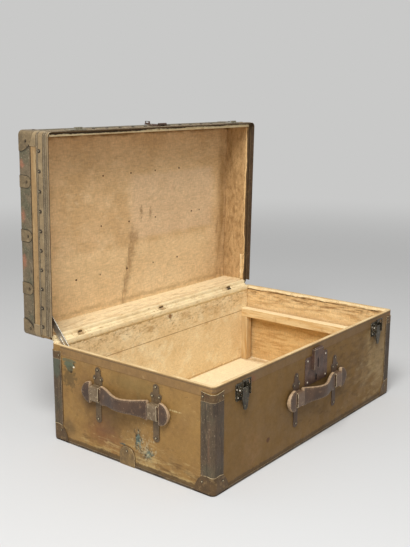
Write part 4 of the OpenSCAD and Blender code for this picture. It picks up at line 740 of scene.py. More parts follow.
# A CAD piece is copied, its loose triangles joined, and its edges rounded with a finish of their own: wear,
# with painted highlight on some pieces and painted shade on others.
# Faces on one plane are joined before an edge is rounded. One with a hole is first cut across it.
rounding = {
    "segments": 2, "sharpAngle": 38, "footSegments": 4, "mergeReach": 0.002, "footReach": 0.05,
    "sameFacing": 0.99999, "nearFacing": 0.999, "nearPlane": 0.02, "flatAngle": 0.5, "cutReach": 1e-7,
    "steep": 0.3, "inward": -0.01,
}


def flatRegions(shape):
    left = dict.fromkeys(shape.faces)
    while left:
        facing = next(iter(left)).normal.copy()
        yield facing, takeJoined(left, lambda face: [
            other for other in facesNextTo(face) if other.normal.dot(facing) > rounding["sameFacing"]])


def holeCentres(region):
    inside = set(region)
    rims = dict.fromkeys(edge for face in region for edge in face.edges
                         if not inside.issuperset(edge.link_faces))
    loops = []
    while rims:
        joined = takeJoined(rims, edgesNextTo)
        loops.append(list(dict.fromkeys(vert for edge in joined for vert in edge.verts)))
    spans = [max((a.co - b.co).length for a in loop for b in loop[:6]) for loop in loops]
    outer = spans.index(max(spans))  # the widest loop is the region's outline
    return [sum((v.co for v in loop), Vector()) / len(loop) for i, loop in enumerate(loops) if i != outer]


def joinFlats(shape):
    cuts = [(centre, facing) for facing, region in flatRegions(shape) if len(region) > 2
            for centre in holeCentres(region)]
    for centre, facing in reversed(cuts):
        across = Vector((1, 0, 0)) if abs(facing.x) < 0.7 else Vector((0, 0, 1))
        near = [face for face in shape.faces if face.normal.dot(facing) > rounding["nearFacing"]
                and abs((face.verts[0].co - centre).dot(facing)) < rounding["nearPlane"] * mm]
        parts = dict.fromkeys([v for f in near for v in f.verts] + [e for f in near for e in f.edges] + near)
        cut = bmesh.ops.bisect_plane(shape, geom=list(parts), dist=rounding["cutReach"], plane_co=centre,
                                     plane_no=across)
        for edge in cut["geom_cut"]:
            if isinstance(edge, bmesh.types.BMEdge):
                edge.seam = True
    bmesh.ops.dissolve_limit(shape, angle_limit=math.radians(rounding["flatAngle"]), verts=shape.verts,
                             edges=shape.edges, delimit={"SEAM"})
    bmesh.ops.connect_verts_concave(shape, faces=shape.faces)


def roundFoot(shape, radius):  # rounds the outer edges that stand on the floor
    low, floor = [], min(v.co.z for v in shape.verts)
    for edge in shape.edges:
        middle = (edge.verts[0].co + edge.verts[1].co) / 2
        sides = [face.normal for face in edge.link_faces if abs(face.normal.z) < rounding["steep"]]
        onFloor = max(v.co.z for v in edge.verts) < floor + rounding["footReach"] * mm
        if onFloor and len(sides) == 1:
            if min(sides[0].x * middle.x, sides[0].y * middle.y) > rounding["inward"] * mm:
                low.append(edge)
    bmesh.ops.bevel(shape, geom=low, offset=radius * mm, segments=rounding["footSegments"], profile=0.5,
                    affect="EDGES")


def roundEdges(node, width, finish, edgeFinish, foot=0):
    mesh = frame["nodes"][node].data.copy()
    shape = bmesh.new()
    shape.from_mesh(mesh)
    bmesh.ops.remove_doubles(shape, verts=shape.verts, dist=rounding["mergeReach"] * mm)
    joinFlats(shape)
    if foot:
        roundFoot(shape, foot)
    for face in shape.faces:
        face.smooth = True
        face.material_index = 0
    shape.to_mesh(mesh)
    shape.free()
    mesh.name = camel(node)
    piece = newPiece(camel(node), mesh, finish, edgeFinish)
    bevel = piece.modifiers.new("roundEdges", "BEVEL")
    bevel.width = width * mm
    bevel.segments = rounding["segments"]
    bevel.limit_method = "ANGLE"
    bevel.angle_limit = math.radians(rounding["sharpAngle"])
    bevel.material = 1
    piece.modifiers.new("evenNormals", "WEIGHTED_NORMAL")
    bakeShape(piece)
    settle(piece, node, node)
    return piece


dressed = {  # CAD nodes that keep their shape, and their finish
    "base_bottom_panel": "blackenedWearCloth", "base_canvas": "oilPaintedCanvas",
    "base_lining": "linenPaper", "rim_band": "wornBandCloth",
    "lid_canvas": "paleOilPaintedCanvas", "lid_lining": "stainedLinenPaper",
    "hinge_pins": "hingeSteel", "hasp_pin": "darkSteel",
    "catch_pins": "brightSteelEdge", "lock_bolt": "darkSteel",
    **{board: "sawnSoftwood" for board in (
        "base_bottom_board", "base_front_board", "base_rear_board", "base_left_board", "base_right_board",
        "lid_top_board")},
    **{f"lid_{side}_board": "grimedBoardEdge" for side in ("front", "rear", "left", "right")},
}
for node, finish in dressed.items():
    cadMaterials = frame["nodes"][node].data.materials
    cadMaterials.clear()
    cadMaterials.append(finishes[finish])

rounded = {  # node: edge width, face finish, edge finish, rounding of the edges on the floor
    "bottom_binding": (0.4, "blackenedFibre", "scuffedFibreEdge"),
    "base_corner_strips": (0.6, "vulcanisedFibre", "scuffedFibreEdge"),
    "base_top_caps": (0.5, "brownLacqueredSteel", "rubbedLacquerEdge"),
    "base_bottom_caps": (0.5, "brownLacqueredSteel", "rubbedLacquerEdge", 5.5),
    "base_edge_clips": (0.5, "ochreLacqueredSteel", "rubbedLacquerEdge"),
    "left_tray_frame": (0.8, "softwoodPost", "softwoodPost"),
    "right_tray_frame": (0.8, "softwoodPost", "softwoodPost"),
    "lid_valance": (0.55, "greyFibre", "wornFibreEdgeAndHighlight"),
    "lid_edge_binding": (0.35, "greenFibre", "scuffedFibreEdge"),
    "lid_corner_strips": (0.5, "greyFibre", "wornFibreEdgeAndHighlight"),
    "lid_corner_caps": (1.1, "greyLacqueredSteel", "shadedSteelEdge"),
    "lid_edge_clips": (0.9, "greyLacqueredSteel", "shadedSteelEdge"),
    "strike_plates": (0.35, "strikeSteel", "brightSteelEdge"),
    "hasp_plate": (0.4, "rustBrownSteel", "rubbedSteelEdgeAndHighlight"),
    "hasp_tongue": (0.4, "rustBrownSteel", "rubbedSteelEdgeAndHighlight"),
    "hinge_base_leaves": (0.4, "hingeSteel", "rubbedSteelEdgeAndHighlight"),
    "hinge_lid_leaves": (0.4, "hingeSteel", "rubbedSteelEdgeAndHighlight"),
    "stay_bar": (0.6, "dullNickel", "brightSteelEdge"),
    "stay_base_stud": (0.3, "dullNickel", "brightSteelEdge"),
    "stay_lid_stud": (0.3, "dullNickel", "brightSteelEdge"),
    "lock_plate": (0.4, "rustBrownSteel", "rubbedSteelEdgeAndHighlight"),
    "lock_housing": (1.0, "rustBrownSteel", "rubbedSteelEdgeAndHighlight"),
    "catch_plates": (0.65, "darkSteel", "brightSteelEdge"),
    "left_catch_lever": (0.7, "darkSteel", "brightSteelEdge"),
    "right_catch_lever": (0.7, "darkSteel", "brightSteelEdge"),
    "left_catch_hook": (0.3, "darkSteel", "brightSteelEdge"),
    "right_catch_hook": (0.3, "darkSteel", "brightSteelEdge"),
    "handle_brackets": (0.5, "chippedBracketSteel", "bracketEdge"),
    "handle_loops": (0.8, "handRubbedSteelAndHighlight", "polishedLoopEdgeAndHighlight"),
}
made = {node: roundEdges(node, *settings) for node, settings in rounded.items()}


def recolour(node, finish, chosen):  # chosen(normal, centre in mm) picks the faces
    mesh = made[node].data
    mesh.materials.append(finishes[finish])
    for face in mesh.polygons:
        if chosen(face.normal, face.center * 1000):
            face.material_index = len(mesh.materials) - 1


lock = {
    "frontY": -240.6, "innerHalf": 17.9, "top": 201, "slotX": -4, "slotHalf": 2.8, "slot": (174, 198),
    "keyholeHalf": 3.4, "keyhole": (141, 156), "frontal": -0.95, "across": 0.7,
}
rimFacing = -0.6
railLevel = 141.9  # where the posts of the tray frames end and the rails begin


def inHousing(n, c):  # behind the housing's front, or on the walls of its slot
    low, high = lock["slot"]
    slot = n.y > lock["frontal"] and abs(c.x - lock["slotX"]) < lock["slotHalf"] and low < c.z < high
    hollow = c.y > lock["frontY"] and abs(c.x) < lock["innerHalf"] and c.z < lock["top"]
    return slot or hollow and max(n.y, abs(n.x)) > lock["across"]


def inKeyhole(n, c):
    low, high = lock["keyhole"]
    return n.y > lock["frontal"] and abs(c.x) < lock["keyholeHalf"] and low < c.z < high


def onRim(n, c):  # the valance's rims, and its faces that look into the lid
    return n.y < rimFacing or c.y < hinge["pinY"] and (n.x * c.x < 0 or n.z < rimFacing)


def onRail(n, c):
    return c.z > railLevel


recolour("lid_valance", "grimedFibreEdgeAndShade", onRim)
recolour("left_tray_frame", "softwoodRail", onRail)
recolour("right_tray_frame", "softwoodRail", onRail)
recolour("lock_housing", "lockHollow", inHousing)
recolour("lock_plate", "lockHollow", inKeyhole)
print("rounded pieces made:", len(made))


# Leather carrying straps. Local x runs along the strap, y up and z out from the wall.
strap = {
    "wallX": 380.0, "wallY": 233.0, "endHeight": 145.5, "frontHeight": 121.0,
    "shoulderX": 67.5, "lobeX": 100.0, "lobeRadius": 25.0, "neckHalf": 15.0,
    "waistHalf": 15.0, "shoulderHalf": 22.5, "middle": 8.5, "halfThick": 4.5, "bow": 17.0, "bowShort": 0.5,
    "crown": 1.1, "edgeRound": 2.4, "groove": 0.5, "backGap": 0.2, "leastHalf": 0.6, "roundShare": 0.8,
    "faceSteps": 10, "edgeSteps": 8, "spanSteps": 24,
    # where the outline steps in and out: distance from the shoulder or lobe, half height
    "shoulderSteps": ((-1.2, 22.2), (-0.3, 21.2), (0.1, 15.2), (0.6, 15.0)),
    "neckStops": (74, 82, 90, 97), "lobeSteps": ((-0.2, 15.0), (0.1, 23.6), (1.0, 24.8)),
    "lobeAngles": (6, 12, 20, 28, 36, 44, 52, 60, 67, 73, 78, 82, 85.5), "sharpAngle": 50,
    "stitchIn": 4.2, "stitchPitch": 5.0, "stitchLength": 3.4, "threadRadius": 0.45,
    "middleSteps": 20, "arcSteps": 16, "arcStart": 0.9,
}
# The pale edge colour stands for wear and for a painted highlight along the edges
leatherLook = {
    "colour": "#4d3624", "pale": "#c4a682", "paleReach": (1.2, 3.8), "paleShare": 0.8, "paleRagged": 3.0,
    "stains": [("#332216", 40, 0.42, 0.62, 0.7), ("#7c5f45", 12, 0.56, 0.7, 0.6),
               ("#3f2c24", 6, 0.63, 0.72, 0.6), ("#c4a682", 3, 0.68, 0.75, 0.5)], "firstSeed": 20,
    "roughness": (0.38, 0.6), "patch": 5, "detail": 4.0,
    "pores": 1.6, "poreDepth": 0.12, "poreStrength": 0.6, "creases": 14, "creaseDepth": 0.5,
}


def makeLeather():  # bridle leather, grain rubbed smooth, cut edges dressed and worn pale, paler still as painted highlight
    material, tree, shader = newMaterial("bridleLeather")
    place = addNode(tree, "ShaderNodeTexCoord").outputs["Object"]
    colour = linear(leatherLook["colour"])
    for i, stain in enumerate(leatherLook["stains"]):
        colour = addStain(tree, place, colour, stain, i + leatherLook["firstSeed"])
    edge = addNode(tree, "ShaderNodeAttribute", {"attribute_name": "fromEdge"})
    grain = patches(tree, place, leatherLook["patch"], leatherLook["detail"])
    uneven = addNode(tree, "ShaderNodeMath", {
        "operation": "MULTIPLY_ADD", 0: grain, 1: leatherLook["paleRagged"], 2: edge.outputs["Fac"]})
    full, none = leatherLook["paleReach"]
    mask = addNode(tree, "ShaderNodeMapRange", {
        "Value": uneven, "From Min": none, "From Max": full, "To Max": leatherLook["paleShare"]})
    worn = addNode(tree, "ShaderNodeMix", {
        "data_type": "RGBA", 0: mask, 6: colour, 7: linear(leatherLook["pale"])})
    feed(tree, worn.outputs[2], shader.inputs["Base Color"])
    smooth, rough = leatherLook["roughness"]
    gloss = addNode(tree, "ShaderNodeMapRange", {"Value": grain, "To Min": smooth, "To Max": rough})
    feed(tree, gloss, shader.inputs["Roughness"])
    cells = addNode(tree, "ShaderNodeTexVoronoi", {"Vector": place, "Scale": 1000 / leatherLook["pores"]})
    pores = addBump(tree, leatherLook["poreDepth"], cells.outputs["Distance"], None)
    pores.inputs["Strength"].default_value = leatherLook["poreStrength"]
    crease = patches(tree, place, leatherLook["creases"], leatherLook["detail"])
    feed(tree, addBump(tree, leatherLook["creaseDepth"], crease, pores), shader.inputs["Normal"])
    return material


finishes["bridleLeather"] = makeLeather()
finishes["waxedThread"] = makeFinish("waxedThread", {  # linen thread, waxed and grimed
    "colour": "#7d6a50", "roughness": (0.55, 0.7), "stains": [("#54432f", 6, 0.5, 0.62, 0.7)]})

walls = {  # how a wall's local x, y and z become a place on the trunk
    "left": lambda x, y, z: (-strap["wallX"] - z, -x, strap["endHeight"] + y),
    "right": lambda x, y, z: (strap["wallX"] + z, x, strap["endHeight"] + y),
    "front": lambda x, y, z: (x, -strap["wallY"] - z, strap["frontHeight"] + y),
}


def bowOut(x):
    span = strap["shoulderX"] - strap["bowShort"]
    return strap["bow"] * (1 + math.cos(math.pi * x / span)) / 2 if abs(x) < span else 0.0


def halfHeight(x):
    x = abs(x)
    if x <= strap["shoulderX"]:
        share = x / strap["shoulderX"]
        return strap["waistHalf"] + (strap["shoulderHalf"] - strap["waistHalf"]) * share ** 2
    if x <= strap["lobeX"]:
        return strap["neckHalf"]
    return math.sqrt(max(0.0, strap["lobeRadius"] ** 2 - (x - strap["lobeX"]) ** 2))


def crossSection(half):  # crowned outer face, edge, flat inner face, edge
    half = max(half, strap["leastHalf"])
    rim = min(strap["edgeRound"], half * strap["roundShare"])
    thick, drop = strap["halfThick"], strap["crown"]
    points = []
    for side in (1, -1):
        for i in range(strap["faceSteps"] + 1):
            y = side * (half - rim) * (2 * i / strap["faceSteps"] - 1)
            points.append((y, thick - drop * (y / half) ** 2 if side > 0 else strap["backGap"] - thick))
        for i in range(1, strap["edgeSteps"]):
            angle = side * math.pi / 2 - math.pi * i / strap["edgeSteps"]
            groove = strap["groove"] if i == strap["edgeSteps"] // 2 else 0.0  # between the two layers
            points.append((side * (half - rim) + (rim - groove) * math.cos(angle),
                           (thick - drop * strap["roundShare"]) * math.sin(angle)))
    return points


def strapStations():  # distance from the middle and half height, from end to end
    shoulder, lobe, radius = strap["shoulderX"], strap["lobeX"], strap["lobeRadius"]
    steps = strap["spanSteps"]
    stations = [(x, halfHeight(x)) for x in [shoulder * i / steps for i in range(steps)]]
    stations += [(shoulder + step, half) for step, half in strap["shoulderSteps"]]
    stations += [(x, strap["neckHalf"]) for x in strap["neckStops"]]
    stations += [(lobe + step, half) for step, half in strap["lobeSteps"]]
    stations += [(lobe + radius * math.sin(math.radians(a)), radius * math.cos(math.radians(a)))
                 for a in strap["lobeAngles"]]
    return [(-x, half) for x, half in reversed(stations[1:])] + stations


def fromEdge(x, y, half):  # mm from a cut edge, for the worn rim
    shoulder, lobe, radius = strap["shoulderX"], strap["lobeX"], strap["lobeRadius"]
    gap = half - abs(y)
    if abs(x) > lobe:
        gap = min(radius - math.hypot(abs(x) - lobe, y), abs(x) - lobe, lobe + radius - abs(x))
    elif abs(x) < shoulder:
        gap = min(gap, shoulder - abs(x) + strap["bowShort"])
    return max(0.0, gap)


def makeStrap(name, node, wall):
    shape = bmesh.new()
    edgeLayer = shape.verts.layers.float.new("fromEdge")
    rings = []
    for x, half in strapStations():
        slope = bowOut(x + 0.5) - bowOut(x - 0.5)
        lean = 1 / math.hypot(1, slope)
        ring = []
        for y, z in crossSection(half):
            place = walls[wall](x - slope * lean * z, y, strap["middle"] + bowOut(x) + lean * z)
            vert = shape.verts.new([c * mm for c in place])
            vert[edgeLayer] = fromEdge(x, y, half)
            ring.append(vert)
        rings.append(ring)
    skin(shape, rings, closed=True)
    mesh = meshOf(shape, name)
    mesh.set_sharp_from_angle(angle=math.radians(strap["sharpAngle"]))
    settle(newPiece(name, mesh, "bridleLeather"), node, node)


def stitchPaths(wall):
    inset, lobe = strap["stitchIn"], strap["lobeX"]
    end = strap["shoulderX"] - inset - 1
    steps, arcSteps = strap["middleSteps"], strap["arcSteps"]
    xs = [end * i / steps for i in range(-steps, steps + 1)]
    paths = [[(x, halfHeight(x) - inset) for x in xs] + [(x, inset - halfHeight(x)) for x in reversed(xs)]]
    radius = strap["lobeRadius"] - inset
    start = math.asin(inset * strap["arcStart"] / radius)
    arc = [start + (math.pi - 2 * start) * i / arcSteps for i in range(arcSteps + 1)]
    for side in (-1, 1):
        paths.append([(side * (lobe + radius * math.sin(a)), radius * math.cos(a)) for a in arc])
    verts, edges = [], []
    for path in paths:
        first = len(verts)
        for x, y in path:
            half = max(halfHeight(x), abs(y) + inset)
            z = strap["middle"] + bowOut(x) + strap["halfThick"] - strap["crown"] * (y / half) ** 2
            verts.append([c * mm for c in walls[wall](x, y, z)])
        edges += [(first + i, first + (i + 1) % len(path)) for i in range(len(path))]
    return verts, edges


def openTree(name, numbers, materials):  # a Geometry Nodes tree with named inputs
    group = bpy.data.node_groups.new(name, "GeometryNodeTree")
    face = group.interface
    face.new_socket("Geometry", in_out="INPUT", socket_type="NodeSocketGeometry")
    for label, value in numbers.items():
        face.new_socket(label, in_out="INPUT", socket_type="NodeSocketFloat").default_value = value
    for label in materials:
        face.new_socket(label, in_out="INPUT", socket_type="NodeSocketMaterial")
    face.new_socket("Geometry", in_out="OUTPUT", socket_type="NodeSocketGeometry")
    return group, addNode(group, "NodeGroupInput").outputs


def runTree(piece, group, values):  # inputs are set by their sockets' identifiers
    sockets = {item.name: item.identifier for item in group.interface.items_tree
               if item.item_type == "SOCKET" and item.in_out == "INPUT"}
    layer = piece.modifiers.new(group.name, "NODES")
    layer.node_group = group
    for label, value in values.items():
        layer[sockets[label]] = value
    bakeShape(piece)


def makeStitchTree():  # lays one short capsule per stitch along a path
    group, ends = openTree("layStitches", {
        "Stitch Pitch": strap["stitchPitch"] * mm, "Stitch Length": strap["stitchLength"] * mm,
        "Thread Radius": strap["threadRadius"] * mm}, ["Thread"])
    curve = addNode(group, "GeometryNodeMeshToCurve", {0: ends["Geometry"]})
    points = addNode(group, "GeometryNodeCurveToPoints", {
        "mode": "LENGTH", "Curve": curve, "Length": ends["Stitch Pitch"]}).outputs
    capsule = addNode(group, "GeometryNodeMeshUVSphere", {"Segments": 6, "Rings": 5, "Radius": 1.0})
    half = addNode(group, "ShaderNodeMath", {"operation": "MULTIPLY", 0: ends["Stitch Length"], 1: 0.5})
    size = addNode(group, "ShaderNodeCombineXYZ", {
        0: ends["Thread Radius"], 1: ends["Thread Radius"], 2: half})
    laid = addNode(group, "GeometryNodeInstanceOnPoints", {
        "Points": points["Points"], "Instance": capsule, "Rotation": points["Rotation"], "Scale": size})
    real = addNode(group, "GeometryNodeRealizeInstances", {0: laid})
    coloured = addNode(group, "GeometryNodeSetMaterial", {"Geometry": real, "Material": ends["Thread"]})
    addNode(group, "NodeGroupOutput", {0: coloured})
    return group


stitchTree = makeStitchTree()


def makeStitches(name, node, wall):
    mesh = bpy.data.meshes.new(name)
    verts, edges = stitchPaths(wall)
    mesh.from_pydata(verts, edges, [])
    piece = newPiece(name, mesh, "waxedThread")
    runTree(piece, stitchTree, {"Thread": finishes["waxedThread"]})
    piece.data.shade_smooth()
    settle(piece, node)


for name, node, wall in (("leftStrap", "left_end_strap", "left"), ("frontStrap", "front_strap", "front"),
                         ("rightStrap", "right_end_strap", "right")):
    makeStrap(name, node, wall)
    makeStitches(name + "Stitches", node, wall)
print("straps and stitches made")


# Nail heads. Geometry Nodes set one on each place where the CAD has a nail, turned to its axis.
nailHeads = {  # node: growth of the head, level above which its crown is rubbed and painted as highlight, finishes of skirt and crown
    "base_trim_nails": (1.1, 0.8, "blackNailSteel", "dullNailCrown"),
    "valance_nails": (1.7, 0.93, "blackNailSteel", "dullNailCrown"),
    "lid_trim_nails": (1.3, 0.85, "blackNailSteel", "tarnishedNailSteel"),
    "lid_hardware_nails": (1.0, 0.6, "tarnishedNailSteel", "wornNailSteel"),
    "front_hardware_nails": (1.0, 0.5, "tarnishedNailSteel", "wornNailSteel"),
    "handle_nails": (1.25, 0.8, "blackNailSteel", "dullNailCrown"),
}
nailShape = {"segments": 14, "rings": 10, "footLevel": -0.04, "footReach": 0.05}


def makeNailTree():
    group, ends = openTree("driveNails", {"Head Growth": 1.0, "Crown Level": 0.6}, ["Skirt", "Crown"])
    ball = addNode(group, "GeometryNodeMeshUVSphere", {
        "Segments": nailShape["segments"], "Rings": nailShape["rings"], "Radius": 1.0})
    spot = addNode(group, "GeometryNodeInputPosition")
    split = addNode(group, "ShaderNodeSeparateXYZ", {0: spot}).outputs
    foot = addNode(group, "ShaderNodeMath", {
        "operation": "MAXIMUM", 0: split[2], 1: nailShape["footLevel"]})
    flat = addNode(group, "ShaderNodeCombineXYZ", {0: split[0], 1: split[1], 2: foot})
    dome = addNode(group, "GeometryNodeSetPosition", {"Geometry": ball, "Position": flat})
    # Faces above the crown level take the crown finish: wear and a painted highlight
    top = addNode(group, "ShaderNodeMath", {
        "operation": "GREATER_THAN", 0: split[2], 1: ends["Crown Level"]})
    marked = addNode(group, "GeometryNodeStoreNamedAttribute", {
        "data_type": "BOOLEAN", "domain": "FACE", "Name": "crownWearAndHighlight", "Geometry": dome, "Value": top})
    smooth = addNode(group, "GeometryNodeSetShadeSmooth", {0: marked})
    outward, size, wornAndHighlitCrown = [addNode(group, "GeometryNodeInputNamedAttribute", {
        "data_type": kind, "Name": label}).outputs["Attribute"] for kind, label in (
        ("FLOAT_VECTOR", "outward"), ("FLOAT_VECTOR", "headSize"), ("BOOLEAN", "crownWearAndHighlight"))]
    grown = addNode(group, "ShaderNodeVectorMath", {
        "operation": "SCALE", 0: size, "Scale": ends["Head Growth"]})
    turned = addNode(group, "FunctionNodeAlignRotationToVector", {"axis": "Z", "Vector": outward})
    laid = addNode(group, "GeometryNodeInstanceOnPoints", {
        "Points": ends["Geometry"], "Instance": smooth, "Rotation": turned, "Scale": grown})
    real = addNode(group, "GeometryNodeRealizeInstances", {0: laid})
    dark = addNode(group, "GeometryNodeSetMaterial", {"Geometry": real, "Material": ends["Skirt"]})
    both = addNode(group, "GeometryNodeSetMaterial", {
        "Geometry": dark, "Selection": wornAndHighlitCrown, "Material": ends["Crown"]})
    addNode(group, "NodeGroupOutput", {0: both})
    return group


nailTree = makeNailTree()


def driveNails(name, heads, node, growth, level, skirt, crown, *replaced):  # heads: place, axis, size
    mesh = bpy.data.meshes.new(name)
    places, axes, sizes = zip(*heads)
    mesh.from_pydata(places, [], [])
    for label, rows in (("outward", axes), ("headSize", sizes)):
        layer = mesh.attributes.new(label, "FLOAT_VECTOR", "POINT")
        layer.data.foreach_set("vector", [c for row in rows for c in row])
    piece = newPiece(name, mesh, skirt, crown)
    runTree(piece, nailTree, {"Head Growth": growth, "Crown Level": level,
                              "Skirt": finishes[skirt], "Crown": finishes[crown]})
    settle(piece, node, *replaced)


def findNails(node):  # each loose head of the CAD node: centre of its flat foot, axis, radius and height
    shape = bmesh.new()
    shape.from_mesh(frame["nodes"][node].data)
    bmesh.ops.remove_doubles(shape, verts=shape.verts, dist=rounding["mergeReach"] * mm)
    left, heads = dict.fromkeys(shape.faces), []
    while left:
        head = takeJoined(left, facesNextTo)
        totals = {}
        for face in head:
            facing = tuple(round(c, 2) for c in face.normal)
            totals[facing] = totals.get(facing, 0) + face.calc_area()
        axis = -Vector(max(totals, key=totals.get)).normalized()
        verts = dict.fromkeys(v for face in head for v in face.verts)
        levels = [v.co.dot(axis) for v in verts]
        foot = [v.co for v in verts if v.co.dot(axis) < min(levels) + nailShape["footReach"] * mm]
        centre = sum(foot, Vector()) / len(foot)
        radius = max((p - centre).length for p in foot)
        heads.append((tuple(centre), tuple(axis), (radius, radius, max(levels) - min(levels))))
    shape.free()
    return sorted(heads, key=lambda head: [round(c, 4) for c in head[0]])


nailCount = 0
for node, settings in nailHeads.items():
    heads = findNails(node)
    nailCount += len(heads)
    driveNails(camel(node), heads, node, *settings, node)
print("nail heads set:", nailCount)


# Strip of linen over the rear joint: down the base's lining, over both rims, up the lid's lining.
# Its free part lies on a circle about the hinge pins.
joint = {
    "reach": 15.0, "wall": 13.55, "rim": 4.0, "mid": 8, "corner": 0.35, "bendStart": (0.6, 0.7),
    "baseLevel": 0.15, "lidLevel": 0.45, "halfLength": 370.2, "rimHalfLength": 373.0,
    "steps": 186, "arcSteps": 10, "thick": 0.2,
    "hinges": (-290.0, 0.0, 290.0), "windowHalf": 7.0, "windowFray": 2, "fray": 3.0, "seed": 5,
    "blendStart": (0, 0.2331, 0.2292), "blendEnd": (0, 0.2372, 0.2329),
}


def jointPath():
    turn, arcSteps, reach = hinge["openAngle"], joint["arcSteps"], joint["reach"]
    wall, rim, mid, low, high = (joint[key] for key in ("wall", "rim", "mid", "baseLevel", "lidLevel"))
    corner = joint["corner"] - wall
    under, over = joint["bendStart"]
    base = [(-wall, -reach), (-wall, -mid), (-wall, -under), (corner, low), (-mid, low), (-rim, low)]
    shut = [(-rim, high), (-mid, high), (corner, high), (-wall, high + over), (-wall, mid),
            (-wall, high + reach)]
    lid = [(y * math.cos(turn) + z * math.sin(turn), z * math.cos(turn) - y * math.sin(turn))
           for y, z in shut]
    first, last = (math.atan2(p[1], p[0]) for p in (base[-1], lid[0]))
    near, far = math.hypot(*base[-1]), math.hypot(*lid[0])
    arc = []
    for i in range(1, arcSteps):
        radius = near + (far - near) * i / arcSteps
        angle = first + (last - first) * i / arcSteps
        arc.append((radius * math.cos(angle), radius * math.sin(angle)))
    return base, arc, lid


def makeJointLinen():
    chance = random.Random(joint["seed"])
    base, arc, lid = jointPath()
    path = base + arc + lid
    free = range(len(base) - 2, len(base) + len(arc) + 1)
    half = joint["rimHalfLength"]
    steps = joint["steps"]
    stations = [-half + 2 * half * i / steps for i in range(steps + 1)]
    shape = bmesh.new()
    grid = []
    for x in stations:
        row = []
        for i, (y, z) in enumerate(path):
            limit = joint["halfLength"] if i < 3 or i > len(path) - 4 else half
            if i in (0, len(path) - 1):
                pull = chance.uniform(0, joint["fray"])
                z, y = (z + pull, y) if i == 0 else (z, y - pull)
            row.append(shape.verts.new((max(-limit, min(limit, x)) * mm, (hinge["pinY"] + y) * mm,
                                        (hinge["pinZ"] + z) * mm)))
        grid.append(row)
    fray = joint["windowFray"]
    for a, b, x in zip(grid, grid[1:], stations):
        for i in range(len(path) - 1):
            gap = min(abs(x - place) for place in joint["hinges"])
            if i in free and gap < joint["windowHalf"] + chance.uniform(-fray, fray):
                continue
            shape.faces.new((a[i], a[i + 1], b[i + 1], b[i]))
    piece = newPiece("jointLinen", meshOf(shape, "jointLinen"), "jointLinen")
    thicken(piece, joint["thick"])
    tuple(joint["blendStart"])
    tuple(joint["blendEnd"])
    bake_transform(piece)


makeJointLinen()
print("joint linen made")


# Torn and turned edges of the linings: ragged strips that lie on the wall and lift at their free edge
tornEdges = {
    "tornLidEdge": {
        "node": "lid_lining", "from": (370.4, 241.6, 262), "to": (370.4, 231.8, 688),
        "across": (0, 1, 0), "outward": (-1, 0, 0), "width": (0.8, 4.6), "lift": (0.2, 1.6), "count": 150,
        "wander": 1.8, "finish": "linenPaper", "seed": 11},
    "peeledFlap": {
        "node": "lid_lining", "from": (370.0, 243.5, 246), "to": (370.0, 243.5, 320),
        "across": (0, 1, 0), "outward": (-1, 0, 0), "width": (5.0, 10.0), "lift": (1.5, 6.0), "count": 24,
        "wander": 0, "finish": "linenPaper", "seed": 12},
    "turnedLidEdge": {
        "node": "lid_lining", "from": (-370, 226.98, 689.8), "to": (370, 226.98, 689.8),
        "across": (0, -0.0227, 1), "outward": (0, -1, 0), "width": (3.0, 7.0), "lift": (0.0, 0.1),
        "count": 160, "wander": 0, "finish": "jointLinen", "seed": 13},
    "turnedRightEdge": {
        "node": "base_lining", "from": (370.4, -222, 228.4), "to": (370.4, 222, 228.4),
        "across": (0, 0, -1), "outward": (-1, 0, 0), "width": (5.0, 10.0), "lift": (0.4, 2.2), "count": 120,
        "wander": 0, "finish": "jointLinen", "seed": 14},
    "turnedLeftEdge": {
        "node": "base_lining", "from": (-370.4, -222, 228.4), "to": (-370.4, 140, 228.4),
        "across": (0, 0, -1), "outward": (1, 0, 0), "width": (4.0, 8.0), "lift": (0.3, 1.2), "count": 100,
        "wander": 0, "finish": "linenPaper", "seed": 15},
}
tear = {"drift": 0.22, "curl": 0.2, "nick": 0.4, "bend": 0.4, "bendMost": 1.2, "thick": 0.3,
        "shares": (0, 0.35, 0.7, 1)}


def makeTornEdge(name, edge):
    chance = random.Random(edge["seed"])

    def wander(value, step, least, most):
        return min(most, max(least, value + chance.uniform(-step, step)))

    start, end, across, outward = (Vector(edge[key]) for key in ("from", "to", "across", "outward"))
    low, high = edge["width"]
    flat, lifted = edge["lift"]
    drift, curl, bend = 0.5, 0.5, 0.0
    shape = bmesh.new()
    rows = []
    for i in range(edge["count"] + 1):
        drift = wander(drift, tear["drift"], 0, 1)
        curl = wander(curl, tear["curl"], 0, 1)
        width = low + (high - low) * drift + chance.uniform(-tear["nick"], tear["nick"])
        rise = flat + (lifted - flat) * curl
        bend = wander(bend, tear["bend"], -tear["bendMost"], tear["bendMost"])
        base = start.lerp(end, i / edge["count"]) + across * bend * edge["wander"]
        rows.append([shape.verts.new((base + across * width * share + outward * rise * share ** 2) * mm)
                     for share in tear["shares"]])
    skin(shape, rows)
    piece = newPiece(name, meshOf(shape, name), edge["finish"])
    thicken(piece, tear["thick"])
    settle(piece, edge["node"])


for name, edge in tornEdges.items():
    makeTornEdge(name, edge)
print("torn edges made:", len(tornEdges))


# Rusted nail tips that come through the lid's lining, in three rows
tips = {  # rows: height of the row, and the tips along it
    "rows": {583.5: (-133, -34, 58, 155), 459.5: (-141, -41, 60, 211, 246),
             337.0: (-227, -146, -49, 52, 152)},
    "depth": 76.6, "sunk": 0.05, "radius": 2.3, "height": 1.1, "stretch": 0.25,
}


